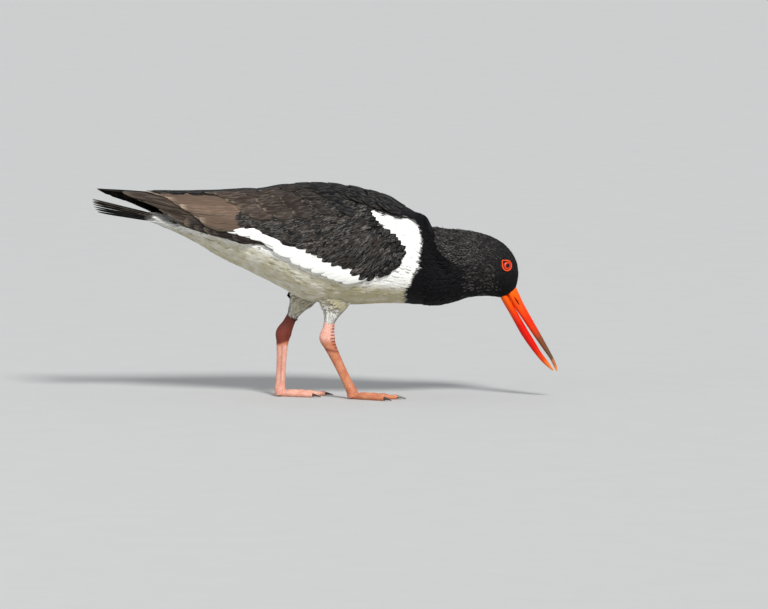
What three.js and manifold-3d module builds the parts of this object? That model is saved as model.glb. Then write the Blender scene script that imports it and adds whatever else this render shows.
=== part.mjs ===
// A Eurasian oystercatcher, life size, walking with its head down and its bill just open.
// Millimetres. +X is forward, +Z is up, the bird's right side faces -Y, and the floor is z = 0.
// The body is one lofted form that thin cuts divide into torso, back, neck and head. The folded
// wings lie in a shallow dent in its flanks.
import * as THREE from "three";
import { ParametricGeometry } from "three/addons/geometries/ParametricGeometry.js";
import { mergeVertices } from "three/addons/utils/BufferGeometryUtils.js";
import Module from "manifold-3d";

const wasm = await Module();
wasm.setup();

// Driving dimensions.
const GAP = 0.3; // between neighbouring nodes
const DEGREE = Math.PI / 180;

const BODY_SIDES = 26;
const BODY_STEPS = 38;
const BODY_SQUARENESS = 2.15; // exponent of the sections, 2 is an ellipse

// Sections of the body from the rump to the root of the bill: the point on the back, the point
// on the belly, the half width, and how far up the section that width lies.
const SECTIONS = [
  { back: [-122, 151], belly: [-122, 134.5], half: 13, mid: 0.5 },
  { back: [-105, 158], belly: [-105, 125.5], half: 21, mid: 0.52 },
  { back: [-85, 164], belly: [-85, 113.5], half: 29, mid: 0.53 },
  { back: [-65, 168.5], belly: [-65, 104], half: 36, mid: 0.53 },
  { back: [-42, 173], belly: [-42, 92.5], half: 41.5, mid: 0.5 },
  { back: [-18, 175.3], belly: [-18, 80.5], half: 45, mid: 0.49 },
  { back: [5, 174.8], belly: [5, 76.5], half: 46.5, mid: 0.48 },
  { back: [27, 171.3], belly: [27, 76.3], half: 46.3, mid: 0.47 },
  { back: [47, 165.8], belly: [47, 77], half: 44, mid: 0.46 },
  { back: [64, 158.3], belly: [64, 76.8], half: 40, mid: 0.45 },
  { back: [78, 150], belly: [78, 76], half: 35, mid: 0.45 },
  { back: [87.5, 141.5], belly: [92, 76], half: 29.5, mid: 0.45 },
  { back: [97, 138.8], belly: [105, 78.6], half: 25, mid: 0.47 },
  { back: [112, 137.6], belly: [116, 82], half: 21.3, mid: 0.5 },
  { back: [128, 135.2], belly: [125, 83.2], half: 18.8, mid: 0.55 },
  { back: [140, 130.3], belly: [132.5, 83.2], half: 17.4, mid: 0.58 },
  { back: [149, 123], belly: [137.5, 82.8], half: 15.8, mid: 0.55 },
  { back: [155, 113.5], belly: [140, 82.5], half: 13.4, mid: 0.5 },
  { back: [157, 103], belly: [141.3, 82.3], half: 10.8, mid: 0.5 },
  { back: [156, 94.5], belly: [142, 82.3], half: 8.3, mid: 0.5 },
  { back: [154.2, 88.8], belly: [142.3, 82.4], half: 6.4, mid: 0.5 },
];
const NECK_CUT = { from: [60, 66], to: [84, 156] }; // the white torso and the black neck part here
const HEAD_CUT = { from: [118, 72], to: [116, 146] };
const BACK_CUT = { from: [-140, 148.5], to: [96, 147.5] }; // the black back lies above it

// The folded wing: its outline on the flank, in millimetres forward and degrees round the section.
const WING_FRONT = 66;
const WING_ARM_REAR = -76; // where the plate under the coverts ends
const LEFT_TIP_REACH = 20; // the left wing tip lies this much further back
const WING_DEPTH = 4.6; // depth of the dent that the wing lies in
const WING_PROUD = 0.7; // how far the wing stands out of the flank
const WING_TOP_EDGE = [[-122, 66], [-20, 64], [20, 60], [35, 47], [47, 31], [58, 20], [66, 7]];
const COVERT_EDGE = [
  [-122, 4], [-75, 1], [-55, -2], [-31, -7], [-15, -10], [8, -20],
  [28, -36], [40, -31], [50, -25], [60, -14], [66, 3],
];
const FLANK_EDGE = [
  [-122, -6], [-72, -16], [-61, -22], [-33, -23], [-17, -29], [8, -33], [28, -39], [50, -28], [66, 0],
];

// Behind the flank the wings make a narrow roof over the tail.
const ROOF = [
  { x: -190, top: 171.4, middle: 168.8, low: 165, half: 4.5 },
  { x: -165, top: 170.2, middle: 165.5, low: 160, half: 9.5 },
  { x: -146, top: 169, middle: 159.5, low: 150, half: 15 },
  { x: -118, top: 168.6, middle: 145, low: 130, half: 24 },
  { x: -90, top: 169.2, middle: 140.5, low: 116, half: 32 },
  { x: -66, top: 170.6, middle: 139, low: 104, half: 38.2 },
];

// Bill, in its own frame: s runs from the root to the tip and h is towards the culmen.
const BILL_ROOT = new THREE.Vector3(147.5, 0, 88);
const BILL_PITCH = 57.6 * DEGREE;
const UPPER_BILL = [
  { s: -6, high: 7.6, low: -1.0, half: 5.6 },
  { s: 0, high: 8.0, low: -1.1, half: 5.7 },
  { s: 8, high: 7.0, low: -1.3, half: 5.3 },
  { s: 16, high: 5.9, low: -1.5, half: 4.7 },
  { s: 30, high: 5.0, low: -1.3, half: 4.0 },
  { s: 44, high: 4.3, low: -1.2, half: 3.4 },
  { s: 55, high: 3.6, low: -0.7, half: 2.8 },
  { s: 66, high: 2.8, low: -0.2, half: 2.1 },
  { s: 74, high: 1.5, low: -0.9, half: 1.5 },
  { s: 77.6, high: 0.2, low: -1.1, half: 0.8 },
];
const LOWER_BILL = [
  { s: -5, high: -1.6, low: -6.6, half: 5.2 },
  { s: 1, high: -1.8, low: -7.4, half: 5.4 },
  { s: 8, high: -2.0, low: -7.9, half: 4.9 },
  { s: 16, high: -2.5, low: -8.1, half: 4.3 },
  { s: 26, high: -2.9, low: -8.7, half: 3.9 },
  { s: 37, high: -2.9, low: -9.3, half: 3.5 },
  { s: 48, high: -3.1, low: -8.9, half: 2.9 },
  { s: 58, high: -3.4, low: -8.0, half: 2.3 },
  { s: 67, high: -2.7, low: -6.5, half: 1.8 },
  { s: 75.5, high: -2.5, low: -3.7, half: 0.8 },
];
const NOSTRIL = { s: 11.5, h: 2.4, length: 7.5, height: 1.3, depth: 2.6 };

const EYE = { x: 147.2, z: 109.8, radius: 5.4, standOut: 1.7 };
const EYE_RING = {
  radius: 4.05, half: 0.85, thick: 0.8, rise: 3.75,
  cornerTurn: 138 * DEGREE, cornerReach: 1.0, // drawn out to a corner behind
};

// Legs, from the hip down: forward and up of each joint, and the lateral place of the whole leg.
// The right leg is forward and slanting, the left one is back and upright.
const RIGHT_LEG = {
  name: "right", hip: [10, 92], cuff: [2.4, 66], ankle: [0, 49], sole: [20.6, 5.6],
  side: -13.5, solePlace: -12, heading: -4 * DEGREE,
};
const LEFT_LEG = {
  name: "left", hip: [-12, 96], cuff: [-27.4, 69], ankle: [-36.4, 50.8], sole: [-38.8, 5.6],
  side: 13.5, solePlace: 13, heading: 5 * DEGREE,
};
const TOES = [
  { name: "inner", turn: 27 * DEGREE, length: 25, radius: 3.1 },
  { name: "middle", turn: -2 * DEGREE, length: 33, radius: 3.3 },
  { name: "outer", turn: -31 * DEGREE, length: 28, radius: 3.1 },
];
const TOE_PADS = 3;
const CLAW_LENGTH = 7;

const material = (color, roughness, metalness = 0) =>
  new THREE.MeshStandardMaterial({ color, roughness, metalness });
const BLACK_PLUMAGE = material(0x17161a, 0.75);
const BROWN_PLUMAGE = material(0x2f2925, 0.7);
const WHITE_PLUMAGE = material(0xe8e4d8, 0.8);
const BILL_HORN = material(0xe8480e, 0.35);
const LEG_SKIN = material(0xdb8468, 0.5);
const CLAW_HORN = material(0x3a2f2c, 0.4);
const IRIS = material(0xb01208, 0.08);
const LID_SKIN = material(0xf04418, 0.45);

// Solids from closed three.js geometries, and meshes back from solids.
function solid(geometry) {
  const bare = new THREE.BufferGeometry();
  bare.setAttribute("position", geometry.getAttribute("position").clone());
  if (geometry.index) bare.setIndex(geometry.index.clone());
  const merged = mergeVertices(bare, 1e-4);
  const index = merged.index.array;
  const kept = [];
  for (let i = 0; i < index.length; i += 3) {
    const [a, b, c] = [index[i], index[i + 1], index[i + 2]];
    if (a !== b && b !== c && c !== a) kept.push(a, b, c);
  }
  const made = manifoldFrom(merged, kept);
  return made.volume() > 0 ? made : manifoldFrom(merged, kept.reverse());
}

function manifoldFrom(geometry, triangles) {
  const vertProperties = geometry.attributes.position.array;
  const triVerts = new Uint32Array(triangles);
  return new wasm.Manifold(new wasm.Mesh({ numProp: 3, vertProperties, triVerts }));
}

const largest = (made) => made.decompose().reduce((a, b) => (a.volume() > b.volume() ? a : b));
const union = (solids) => solids.reduce((a, b) => a.add(b));

function meshOf(name, made, finish) {
  const { vertProperties, triVerts } = largest(made).getMesh();
  const geometry = new THREE.BufferGeometry();
  geometry.setAttribute("position", new THREE.BufferAttribute(vertProperties, 3));
  geometry.setIndex(new THREE.BufferAttribute(triVerts, 1));
  geometry.computeVertexNormals();
  const mesh = new THREE.Mesh(geometry, finish);
  mesh.name = name;
  return mesh;
}

const mix = (a, b, t) => a + (b - a) * t;
const clamp01 = (t) => Math.min(1, Math.max(0, t));
const ease = (t) => clamp01(t) ** 2 * (3 - 2 * clamp01(t));

// The value at x of a list of [x, value] pairs in rising x, by straight stretches.
function along(pairs, x) {
  if (x <= pairs[0][0]) return pairs[0][1];
  for (let i = 1; i < pairs.length; i += 1) {
    const [x0, v0] = pairs[i - 1];
    const [x1, v1] = pairs[i];
    if (x <= x1) return mix(v0, v1, (x - x0) / (x1 - x0));
  }
  return pairs.at(-1)[1];
}

// A closed tube of rings: ring(t, turn) gives a point, and both ends are closed to their middle.
function closedLoft(ring, steps, sides) {
  const middle = (t) => {
    const sum = new THREE.Vector3();
    for (let k = 0; k < sides; k += 1) sum.add(ring(t, k / sides));
    return sum.divideScalar(sides);
  };
  const surface = (turn, t, target) => {
    const row = t * (steps + 2) - 1;
    if (row < -0.5) target.copy(middle(0));
    else if (row > steps + 0.5) target.copy(middle(1));
    else target.copy(ring(Math.round(row) / steps, turn >= 1 ? 0 : turn));
  };
  return solid(new ParametricGeometry(surface, sides, steps + 2));
}

// Body form.
const spline = (points) => new THREE.CatmullRomCurve3(points, false, "catmullrom", 0.5);
const backLine = spline(SECTIONS.map((s) => new THREE.Vector3(s.back[0], 0, s.back[1])));
const bellyLine = spline(SECTIONS.map((s) => new THREE.Vector3(s.belly[0], 0, s.belly[1])));
const girthLine = spline(SECTIONS.map((s) => new THREE.Vector3(s.half, s.mid, 0)));

function section(u) {
  const girth = girthLine.getPoint(u);
  return { back: backLine.getPoint(u), belly: bellyLine.getPoint(u), half: girth.x, mid: girth.y };
}

// Depth of the dent under the folded wing, by place along the body and angle round it.
function wingDent(x, angle) {
  const turn = angle / DEGREE;
  const top = (along(WING_TOP_EDGE, x) - turn) / 16;
  const bottom = (turn - along(FLANK_EDGE, x)) / 24;
  const front = (WING_FRONT - x) / 14;
  return WING_DEPTH * ease(top) * ease(bottom) * ease(front);
}

const squared = (c) => Math.sign(c) * Math.abs(c) ** (2 / BODY_SQUARENESS);

function bodyPoint(u, turn, grow, dented) {
  const { back, belly, half, mid } = section(u);
  const centre = belly.clone().lerp(back, mid);
  const around = turn * 2 * Math.PI;
  const [across, up] = [squared(Math.cos(around)), squared(Math.sin(around))];
  const reach = (up > 0 ? back : belly).clone().sub(centre);
  const arm = reach.clone().setLength(reach.length() + grow).multiplyScalar(Math.abs(up));
  arm.y = -across * (half + grow);
  const sideAngle = Math.atan2(up, Math.abs(across));
  if (dented) arm.setLength(Math.max(1, arm.length() - wingDent(centre.x, sideAngle)));
  return centre.add(arm);
}

// Steps are closer where the sections turn round the face.
const bodyU = (t) => mix(t, 1 - (1 - t) ** 1.25, 0.6);
const bodySolid = (grow, dented) =>
  closedLoft((t, turn) => bodyPoint(bodyU(t), turn, grow, dented), BODY_STEPS, BODY_SIDES);

// A block on one side of a plane through two points of the side view, half a gap past it.
// Side 1 is on the right hand of the way from the first point to the second.
const CUT_REACH = 400;

function slab({ from, to }, side) {
  const way = new THREE.Vector2(to[0] - from[0], to[1] - from[1]);
  const geometry = new THREE.BoxGeometry(CUT_REACH, 2 * CUT_REACH, 2 * CUT_REACH);
  geometry.translate(side * (CUT_REACH / 2 - GAP / 2), 0, 0);
  geometry.rotateY(Math.PI / 2 - way.angle());
  geometry.translate((from[0] + to[0]) / 2, 0, (from[1] + to[1]) / 2);
  return solid(geometry);
}

// The half of the body in front of a cut, or behind it.
function part(whole, cut, side) {
  return largest(whole.subtract(slab(cut, side)));
}

// Wing surface: the flank of the body, and behind it the roof over the tail.
function uAt(x) {
  let [low, high] = [0, 0.55];
  for (let i = 0; i < 30; i += 1) {
    const u = (low + high) / 2;
    if (backLine.getPoint(u).x < x) low = u;
    else high = u;
  }
  return low;
}

const roofValue = (key, x) => along(ROOF.map((r) => [r.x, r[key]]), x);

function roofPoint(x, angle, lift) {
  const [across, up] = [squared(Math.cos(angle)), squared(Math.sin(angle))];
  const middle = roofValue("middle", x);
  const rise = up > 0 ? roofValue("top", x) - middle : middle - roofValue("low", x);
  return new THREE.Vector3(x, -across * (roofValue("half", x) + lift), middle + up * (rise + lift));
}

const FLANK_START = -66;
const FLANK_FULL = -40;

function wingPoint(x, angle, lift) {
  const flank = () => bodyPoint(uAt(x), angle / (2 * Math.PI), lift, false);
  if (x <= FLANK_START) return roofPoint(x, angle, lift);
  if (x >= FLANK_FULL) return flank();
  const share = ease((x - FLANK_START) / (FLANK_FULL - FLANK_START));
  return roofPoint(x, angle, lift).lerp(flank(), share);
}

function wingNormal(x, angle) {
  return wingPoint(x, angle, 1).sub(wingPoint(x, angle, 0)).normalize();
}

// The covert-clad arm of the wing: a plate between the covert edge and the top edge.
function wingArm() {
  const ring = (t, turn) => {
    const x = mix(WING_FRONT - 0.5, WING_ARM_REAR, t ** 1.15);
    const low = along(COVERT_EDGE, x);
    const high = Math.max(low + 1.5, along(WING_TOP_EDGE, x));
    const round = turn * 2 * Math.PI;
    const angle = mix(low, high, 0.5 - 0.5 * Math.cos(round)) * DEGREE;
    const outside = Math.sin(round) > 0;
    const rim = Math.abs(Math.sin(round)) ** 0.6;
    const lift = outside ? WING_PROUD * rim : -(WING_DEPTH + 1.2) * rim;
    return wingPoint(x, angle, lift);
  };
  return closedLoft(ring, 13, 14);
}

// A feather vane is a closed blade of four-cornered sections, narrower at root and tip.
const VANE_STATIONS = [0, 0.35, 0.7, 0.9, 1];
const VANE_THICKNESS = 0.75;

function vaneWidth(t, bluntness) {
  const opening = Math.min(1, 0.55 + 1.4 * t);
  const past = Math.max(0, t - bluntness) / (1 - bluntness);
  return opening * Math.sqrt(Math.max(0.05, 1 - past ** 2));
}

// shaft(t) is the vane's middle line, normalAt(t) points out of its upper face, and roll turns
// it about the shaft, so that one edge stands out over its neighbour.
function vaneSolid({ shaft, normalAt, width, roll = 0, bluntness = 0.6 }) {
  const positions = VANE_STATIONS.flatMap((t) => {
    const point = shaft(t);
    const ahead = shaft(t + 0.02).sub(shaft(t - 0.02)).normalize();
    const across = new THREE.Vector3().crossVectors(ahead, normalAt(t)).normalize();
    const normal = new THREE.Vector3().crossVectors(across, ahead);
    across.applyAxisAngle(ahead, roll);
    normal.applyAxisAngle(ahead, roll);
    const half = (width / 2) * vaneWidth(t, bluntness);
    const corner = (side, face) =>
      point.clone().addScaledVector(across, side * half).addScaledVector(normal, (face * VANE_THICKNESS) / 2);
    return [corner(-1, 1), corner(1, 1), corner(1, -1), corner(-1, -1)].flatMap((p) => p.toArray());
  });
  const faces = [];
  const last = (VANE_STATIONS.length - 1) * 4;
  for (let row = 0; row < last; row += 4) {
    const [a, b, c, d] = [row, row + 1, row + 2, row + 3];
    faces.push(a, a + 4, b + 4, a, b + 4, b); // upper face
    faces.push(c, c + 4, d, c + 4, d + 4, d); // lower face, split alike
    faces.push(b, b + 4, c + 4, b, c + 4, c);
    faces.push(d, d + 4, a + 4, d, a + 4, a);
  }
  faces.push(0, 1, 2, 0, 2, 3, last, last + 2, last + 1, last, last + 3, last + 2);
  const geometry = new THREE.BufferGeometry();
  geometry.setAttribute("position", new THREE.Float32BufferAttribute(positions, 3));
  geometry.setIndex(faces);
  return solid(geometry);
}

// A vane that lies on the wing's surface. Its ends are [x, angle, lift off the surface].
function wingVane({ root, tip, ...shape }) {
  const forward = (t) => mix(root[0], tip[0], t);
  const angle = (t) => mix(root[1], tip[1], t) * DEGREE;
  const lift = (t) => mix(root[2], tip[2], ease(1.5 * t));
  return vaneSolid({
    shaft: (t) => wingPoint(forward(t), angle(t), lift(t)),
    normalAt: (t) => wingNormal(forward(t), angle(t)),
    ...shape,
  });
}

// A tier of vanes whose roots, tips and widths run evenly from its first feather to its last.
function tier({ count, roots, tips, widths, ...shape }) {
  return Array.from({ length: count }, (_, i) => {
    const t = i / (count - 1);
    const between = ([a, b]) => a.map((v, k) => mix(v, b[k], t));
    return wingVane({ root: between(roots), tip: between(tips), width: mix(...widths, t), ...shape });
  });
}

// The tiers of one folded wing, the lowest lying first. A reach lets one wing end further back.
const wingTiers = (reach) => [
  primaries(reach), secondaries(), greaterCoverts(), tertials(), scapulars(),
].flat();

const primaries = (reach) => tier({
  count: 4, widths: [15, 12], roll: 0.07, bluntness: 0.5,
  roots: [[-46, 2, -3.4], [-56, 18, -2.4]], tips: [[-124 - 0.6 * reach, -1, -1.6], [-166 - reach, 24, 0.2]],
});
const secondaries = () => tier({
  count: 2, widths: [17, 17], roll: 0.06,
  roots: [[-24, 0, -3], [-44, 6, -2.6]], tips: [[-74, -12, 0.4], [-104, -4, -0.6]],
});
const greaterCoverts = () => tier({
  count: 7, widths: [14, 18], roll: 0.05, bluntness: 0.62,
  roots: [[40, -20, -1.4], [-42, 9, -1]], tips: [[10, -32, 1.3], [-78, -7, 1.2]],
});
const tertials = () => tier({
  count: 4, widths: [21, 16], roll: 0.07, bluntness: 0.65,
  roots: [[-30, 12, -1.2], [-44, 50, -0.8]], tips: [[-108, 11, 0.8], [-142, 56, 1]],
});
const scapulars = () => tier({
  count: 4, widths: [22, 20], roll: 0.08, bluntness: 0.6,
  roots: [[12, 42, -0.9], [-38, 64, -0.6]], tips: [[-38, 30, 1.2], [-86, 62, 1.5]],
});

const mirrored = (made) => made.mirror([0, 1, 0]);

// Tail: a core of coverts and twelve feathers, the middle pair on top.
const TAIL_ROOT = new THREE.Vector3(-122 - GAP, 0, 143);
const TAIL_CORE_LENGTH = 33;
const TAIL_CUT = { from: [-148, 130], to: [-144, 170] }; // the white coverts and the dark tail part here
const TAIL_RISE = 12.5 * DEGREE;
const TAIL_LENGTH = 70;
const TAIL_FAN = 7 * DEGREE;
const TAIL_PAIRS = 6;
const TAIL_STEP = 0.75; // from one pair down to the next
const TAIL_WIDTH = 15;

function tailCore() {
  const ring = (t, turn) => {
    const round = turn * 2 * Math.PI;
    const reach = t * TAIL_CORE_LENGTH;
    const half = mix(12.6, 10, t);
    const high = mix(7.8, 2.6, t);
    const low = mix(8.2, 3, t);
    const up = Math.sin(round);
    const height = TAIL_ROOT.z + 1.6 * t + reach * Math.tan(TAIL_RISE) + up * (up > 0 ? high : low);
    return new THREE.Vector3(TAIL_ROOT.x - reach, -half * Math.cos(round), height);
  };
  return closedLoft(ring, 4, 14);
}

function tailVane(pair, side) {
  const share = pair / (TAIL_PAIRS - 1);
  const heading = (0.15 + 0.85 * share) * TAIL_FAN;
  const length = TAIL_LENGTH - 5 * share ** 2;
  const start = new THREE.Vector3(
    TAIL_ROOT.x - 2, side * (2.2 + 5.2 * share), TAIL_ROOT.z + 3.2 - TAIL_STEP * pair,
  );
  const ahead = new THREE.Vector3(-1, side * Math.tan(heading), Math.tan(TAIL_RISE)).normalize();
  const normal = new THREE.Vector3(Math.sin(TAIL_RISE), side * 0.03 * share, Math.cos(TAIL_RISE));
  return vaneSolid({
    shaft: (t) => start.clone().addScaledVector(ahead, length * t),
    normalAt: () => normal,
    width: TAIL_WIDTH, roll: -side * 0.02, bluntness: 0.8,
  });
}

function tailSolid() {
  const vanes = [];
  for (let pair = 0; pair < TAIL_PAIRS; pair += 1) {
    for (const side of [-1, 1]) vanes.push(tailVane(pair, side));
  }
  return union([tailCore(), ...vanes]);
}

// Bill.
const billAhead = new THREE.Vector3(Math.cos(BILL_PITCH), 0, -Math.sin(BILL_PITCH));
const billUp = new THREE.Vector3(Math.sin(BILL_PITCH), 0, Math.cos(BILL_PITCH));
const billPoint = (s, side, h) =>
  BILL_ROOT.clone().addScaledVector(billAhead, s).addScaledVector(billUp, h).setY(side);

function billHalf(stations, ridgeUp) {
  const ring = (t, turn) => {
    const station = stations[Math.round(t * (stations.length - 1))];
    const round = turn * 2 * Math.PI;
    const [across, up] = [Math.cos(round), Math.sin(round)];
    const middle = (station.high + station.low) / 2;
    const reach = (station.high - station.low) / 2;
    const narrowing = 1 - 0.22 * (ridgeUp ? up : -up);
    return billPoint(station.s, -across * station.half * narrowing, middle + up * reach);
  };
  return closedLoft(ring, stations.length - 1, 10);
}

function nostril(side) {
  const geometry = new THREE.SphereGeometry(0.5, 8, 4);
  geometry.scale(NOSTRIL.length, NOSTRIL.depth, NOSTRIL.height);
  geometry.rotateY(BILL_PITCH);
  const place = billPoint(NOSTRIL.s, side * 4.6, NOSTRIL.h);
  geometry.translate(place.x, place.y, place.z);
  return solid(geometry);
}

// Eye, with the ring of bare skin round it drawn out to a corner behind.
function headSide(x, z) {
  let best = { miss: Infinity };
  for (let u = 0.6; u < 1; u += 0.004) {
    for (let turn = -0.2; turn < 0.2; turn += 0.008) {
      const point = bodyPoint(u, turn, 0, false);
      const miss = Math.hypot(point.x - x, point.z - z);
      if (miss < best.miss) best = { miss, u, turn, point };
    }
  }
  const step = 0.02;
  const near = (du, dTurn) => bodyPoint(best.u + du, best.turn + dTurn, 0, false);
  const lengthwise = near(step, 0).sub(near(-step, 0));
  const round = near(0, step).sub(near(0, -step));
  const normal = lengthwise.cross(round).normalize();
  return { point: best.point, normal: normal.y < 0 ? normal : normal.negate() };
}

const eyeSeat = headSide(EYE.x, EYE.z);
const eyeCentre = eyeSeat.point.clone().addScaledVector(eyeSeat.normal, EYE.standOut - EYE.radius);

function eyeBall(grow) {
  const geometry = new THREE.SphereGeometry(EYE.radius + grow, 12, 8);
  geometry.rotateX(Math.PI / 2);
  geometry.lookAt(eyeSeat.normal);
  geometry.translate(eyeCentre.x, eyeCentre.y, eyeCentre.z);
  return solid(geometry);
}

function eyeRing(grow) {
  const ringPoint = (t, turn) => {
    const round = t * 2 * Math.PI;
    const offCorner = (round - EYE_RING.cornerTurn) / 0.34;
    const out = EYE_RING.radius + EYE_RING.cornerReach * Math.exp(-(offCorner ** 2));
    const swing = turn * 2 * Math.PI;
    const reach = out + (EYE_RING.half + grow) * Math.cos(swing);
    const rise = EYE_RING.rise + (EYE_RING.thick + grow) * Math.sin(swing);
    return new THREE.Vector3(reach * Math.cos(round), reach * Math.sin(round), rise);
  };
  const surface = (turn, t, target) => target.copy(ringPoint(t >= 1 ? 0 : t, turn >= 1 ? 0 : turn));
  const geometry = new ParametricGeometry(surface, 6, 18);
  const forward = new THREE.Vector3(1, 0, 0);
  const up = new THREE.Vector3().crossVectors(eyeSeat.normal, forward).normalize();
  forward.crossVectors(up, eyeSeat.normal).normalize();
  geometry.applyMatrix4(new THREE.Matrix4().makeBasis(forward, up, eyeSeat.normal));
  geometry.translate(eyeCentre.x, eyeCentre.y, eyeCentre.z);
  return solid(geometry);
}

// Legs.
const legPoint = ([x, z], y) => new THREE.Vector3(x, y, z);

// A round limb through joints, each { at, fore, side }: fore is the half depth along the stride.
function limb(joints, steps, sides) {
  const line = spline(joints.map((j) => j.at));
  const girth = spline(joints.map((j) => new THREE.Vector3(j.fore, j.side, 0)));
  const ring = (t, turn) => {
    const ahead = line.getTangent(t);
    const lateral = new THREE.Vector3(0, 1, 0).addScaledVector(ahead, -ahead.y).normalize();
    const fore = new THREE.Vector3().crossVectors(lateral, ahead).normalize();
    const size = girth.getPoint(t);
    const round = turn * 2 * Math.PI;
    return line.getPoint(t)
      .addScaledVector(fore, size.x * Math.cos(round))
      .addScaledVector(lateral, size.y * Math.sin(round));
  };
  return closedLoft(ring, steps, sides);
}

// A line across a limb in the side view, with what lies further down on its right hand.
function crossCut(at, down) {
  return { from: [at.x + down.z, at.z - down.x], to: [at.x - down.z, at.z + down.x] };
}

function floorCut(made) {
  const geometry = new THREE.BoxGeometry(400, 400, 60);
  geometry.translate(0, 0, -30);
  return made.subtract(solid(geometry));
}

function legMeshes(leg, torsoGrown) {
  const hip = legPoint(leg.hip, leg.side);
  const cuff = legPoint(leg.cuff, leg.side);
  const ankle = legPoint(leg.ankle, mix(leg.side, leg.solePlace, 0.3));
  const sole = legPoint(leg.sole, leg.solePlace);
  const shankDown = ankle.clone().sub(cuff).normalize();
  const tarsusDown = sole.clone().sub(ankle).normalize();
  const kneeEnd = cuff.clone().addScaledVector(shankDown, 1);
  const ankleEnd = ankle.clone().addScaledVector(tarsusDown, 6.5);
  const cuffCut = crossCut(kneeEnd, shankDown);
  const ankleCut = crossCut(ankleEnd, tarsusDown);

  const thigh = limb([
    { at: hip, fore: 17, side: 13 },
    { at: hip.clone().lerp(cuff, 0.42), fore: 13, side: 10.5 },
    { at: hip.clone().lerp(cuff, 0.75), fore: 8.4, side: 7.4 },
    { at: kneeEnd, fore: 4.9, side: 4.6 },
    { at: kneeEnd.clone().addScaledVector(shankDown, 3), fore: 4.4, side: 4.2 },
  ], 8, 12).subtract(slab(cuffCut, 1));
  const shank = limb([
    { at: kneeEnd.clone().addScaledVector(shankDown, -3), fore: 4.2, side: 3.9 },
    { at: kneeEnd.clone().lerp(ankle, 0.5), fore: 5.0, side: 4.2 },
    { at: ankle.clone().addScaledVector(shankDown, -1), fore: 6.6, side: 5.0 },
    { at: ankleEnd, fore: 5.0, side: 4.2 },
    { at: ankleEnd.clone().addScaledVector(tarsusDown, 3), fore: 4.8, side: 4.0 },
  ], 9, 12).subtract(slab(cuffCut, -1)).subtract(slab(ankleCut, 1));
  const tarsus = limb([
    { at: ankleEnd.clone().addScaledVector(tarsusDown, -3), fore: 4.9, side: 4.1 },
    { at: ankleEnd.clone().lerp(sole, 0.25), fore: 4.2, side: 3.3 },
    { at: ankleEnd.clone().lerp(sole, 0.75), fore: 3.9, side: 3.1 },
    { at: sole, fore: 4.6, side: 4.4 },
    { at: sole.clone().add(new THREE.Vector3(0.6, 0, -6.4)), fore: 4.8, side: 5.0 },
  ], 10, 10).subtract(slab(ankleCut, -1));

  const meshes = [
    meshOf(`thigh_${leg.name}`, thigh.subtract(torsoGrown), WHITE_PLUMAGE),
    meshOf(`shank_${leg.name}`, shank, LEG_SKIN),
  ];
  const mirror = leg.side > 0 ? -1 : 1;
  const headingOf = (toe) => leg.heading + toe.turn * mirror;
  const middle = TOES.find((toe) => toe.name === "middle");
  const soleGrown = soleBlock(sole);
  const middleGrown = toeSolid(sole, headingOf(middle), middle, GAP);
  for (const toe of TOES) {
    const whole = toeSolid(sole, headingOf(toe), toe, 0).subtract(soleGrown);
    const clear = toe === middle ? whole : whole.subtract(middleGrown);
    meshes.push(meshOf(`toe_${toe.name}_${leg.name}`, clear, LEG_SKIN));
    meshes.push(meshOf(`claw_${toe.name}_${leg.name}`, clawSolid(sole, headingOf(toe), toe), CLAW_HORN));
  }
  meshes.push(meshOf(`tarsus_${leg.name}`, floorCut(tarsus), LEG_SKIN));
  return meshes;
}

// The block of the foot that the toes meet, grown by the gap.
function soleBlock(sole) {
  const geometry = new THREE.CylinderGeometry(5.2 + GAP, 5.6 + GAP, 16, 24);
  geometry.rotateX(Math.PI / 2);
  geometry.translate(sole.x + 0.5, sole.y, 3);
  return solid(geometry);
}

const TOE_START = 4.2; // length of a toe that is hidden in the foot
const TOE_END_RADIUS = 2.1;

// A toe with its pads, flat where it meets the floor.
function toeSolid(sole, heading, toe, grow) {
  const ahead = new THREE.Vector3(Math.cos(heading), Math.sin(heading), 0);
  const lateral = new THREE.Vector3(-ahead.y, ahead.x, 0);
  const reach = TOE_START + toe.length + grow;
  const ring = (t, turn) => {
    const round = turn * 2 * Math.PI;
    const pads = 1 + 0.08 * Math.cos(2 * Math.PI * TOE_PADS * t);
    const radius = mix(toe.radius, TOE_END_RADIUS, t) * pads;
    const middle = radius * 0.86;
    return new THREE.Vector3(sole.x, sole.y, middle + (radius + grow) * 0.94 * Math.sin(round))
      .addScaledVector(ahead, reach * t)
      .addScaledVector(lateral, (radius + grow) * Math.cos(round));
  };
  return floorCut(closedLoft(ring, 9, 8));
}

// A short blunt claw that bends down to the floor.
function clawSolid(sole, heading, toe) {
  const ahead = new THREE.Vector3(Math.cos(heading), Math.sin(heading), 0);
  const lateral = new THREE.Vector3(-ahead.y, ahead.x, 0);
  const root = TOE_START + toe.length + GAP;
  const ring = (t, turn) => {
    const round = turn * 2 * Math.PI;
    const radius = mix(1.6, 0.35, t ** 0.8);
    const height = 2.0 - 1.3 * t * t;
    return new THREE.Vector3(sole.x, sole.y, height + radius * Math.sin(round))
      .addScaledVector(ahead, root + CLAW_LENGTH * t)
      .addScaledVector(lateral, radius * Math.cos(round));
  };
  return floorCut(closedLoft(ring, 4, 6));
}

// Assembly.
const bird = new THREE.Group();
bird.name = "oystercatcher";

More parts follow.
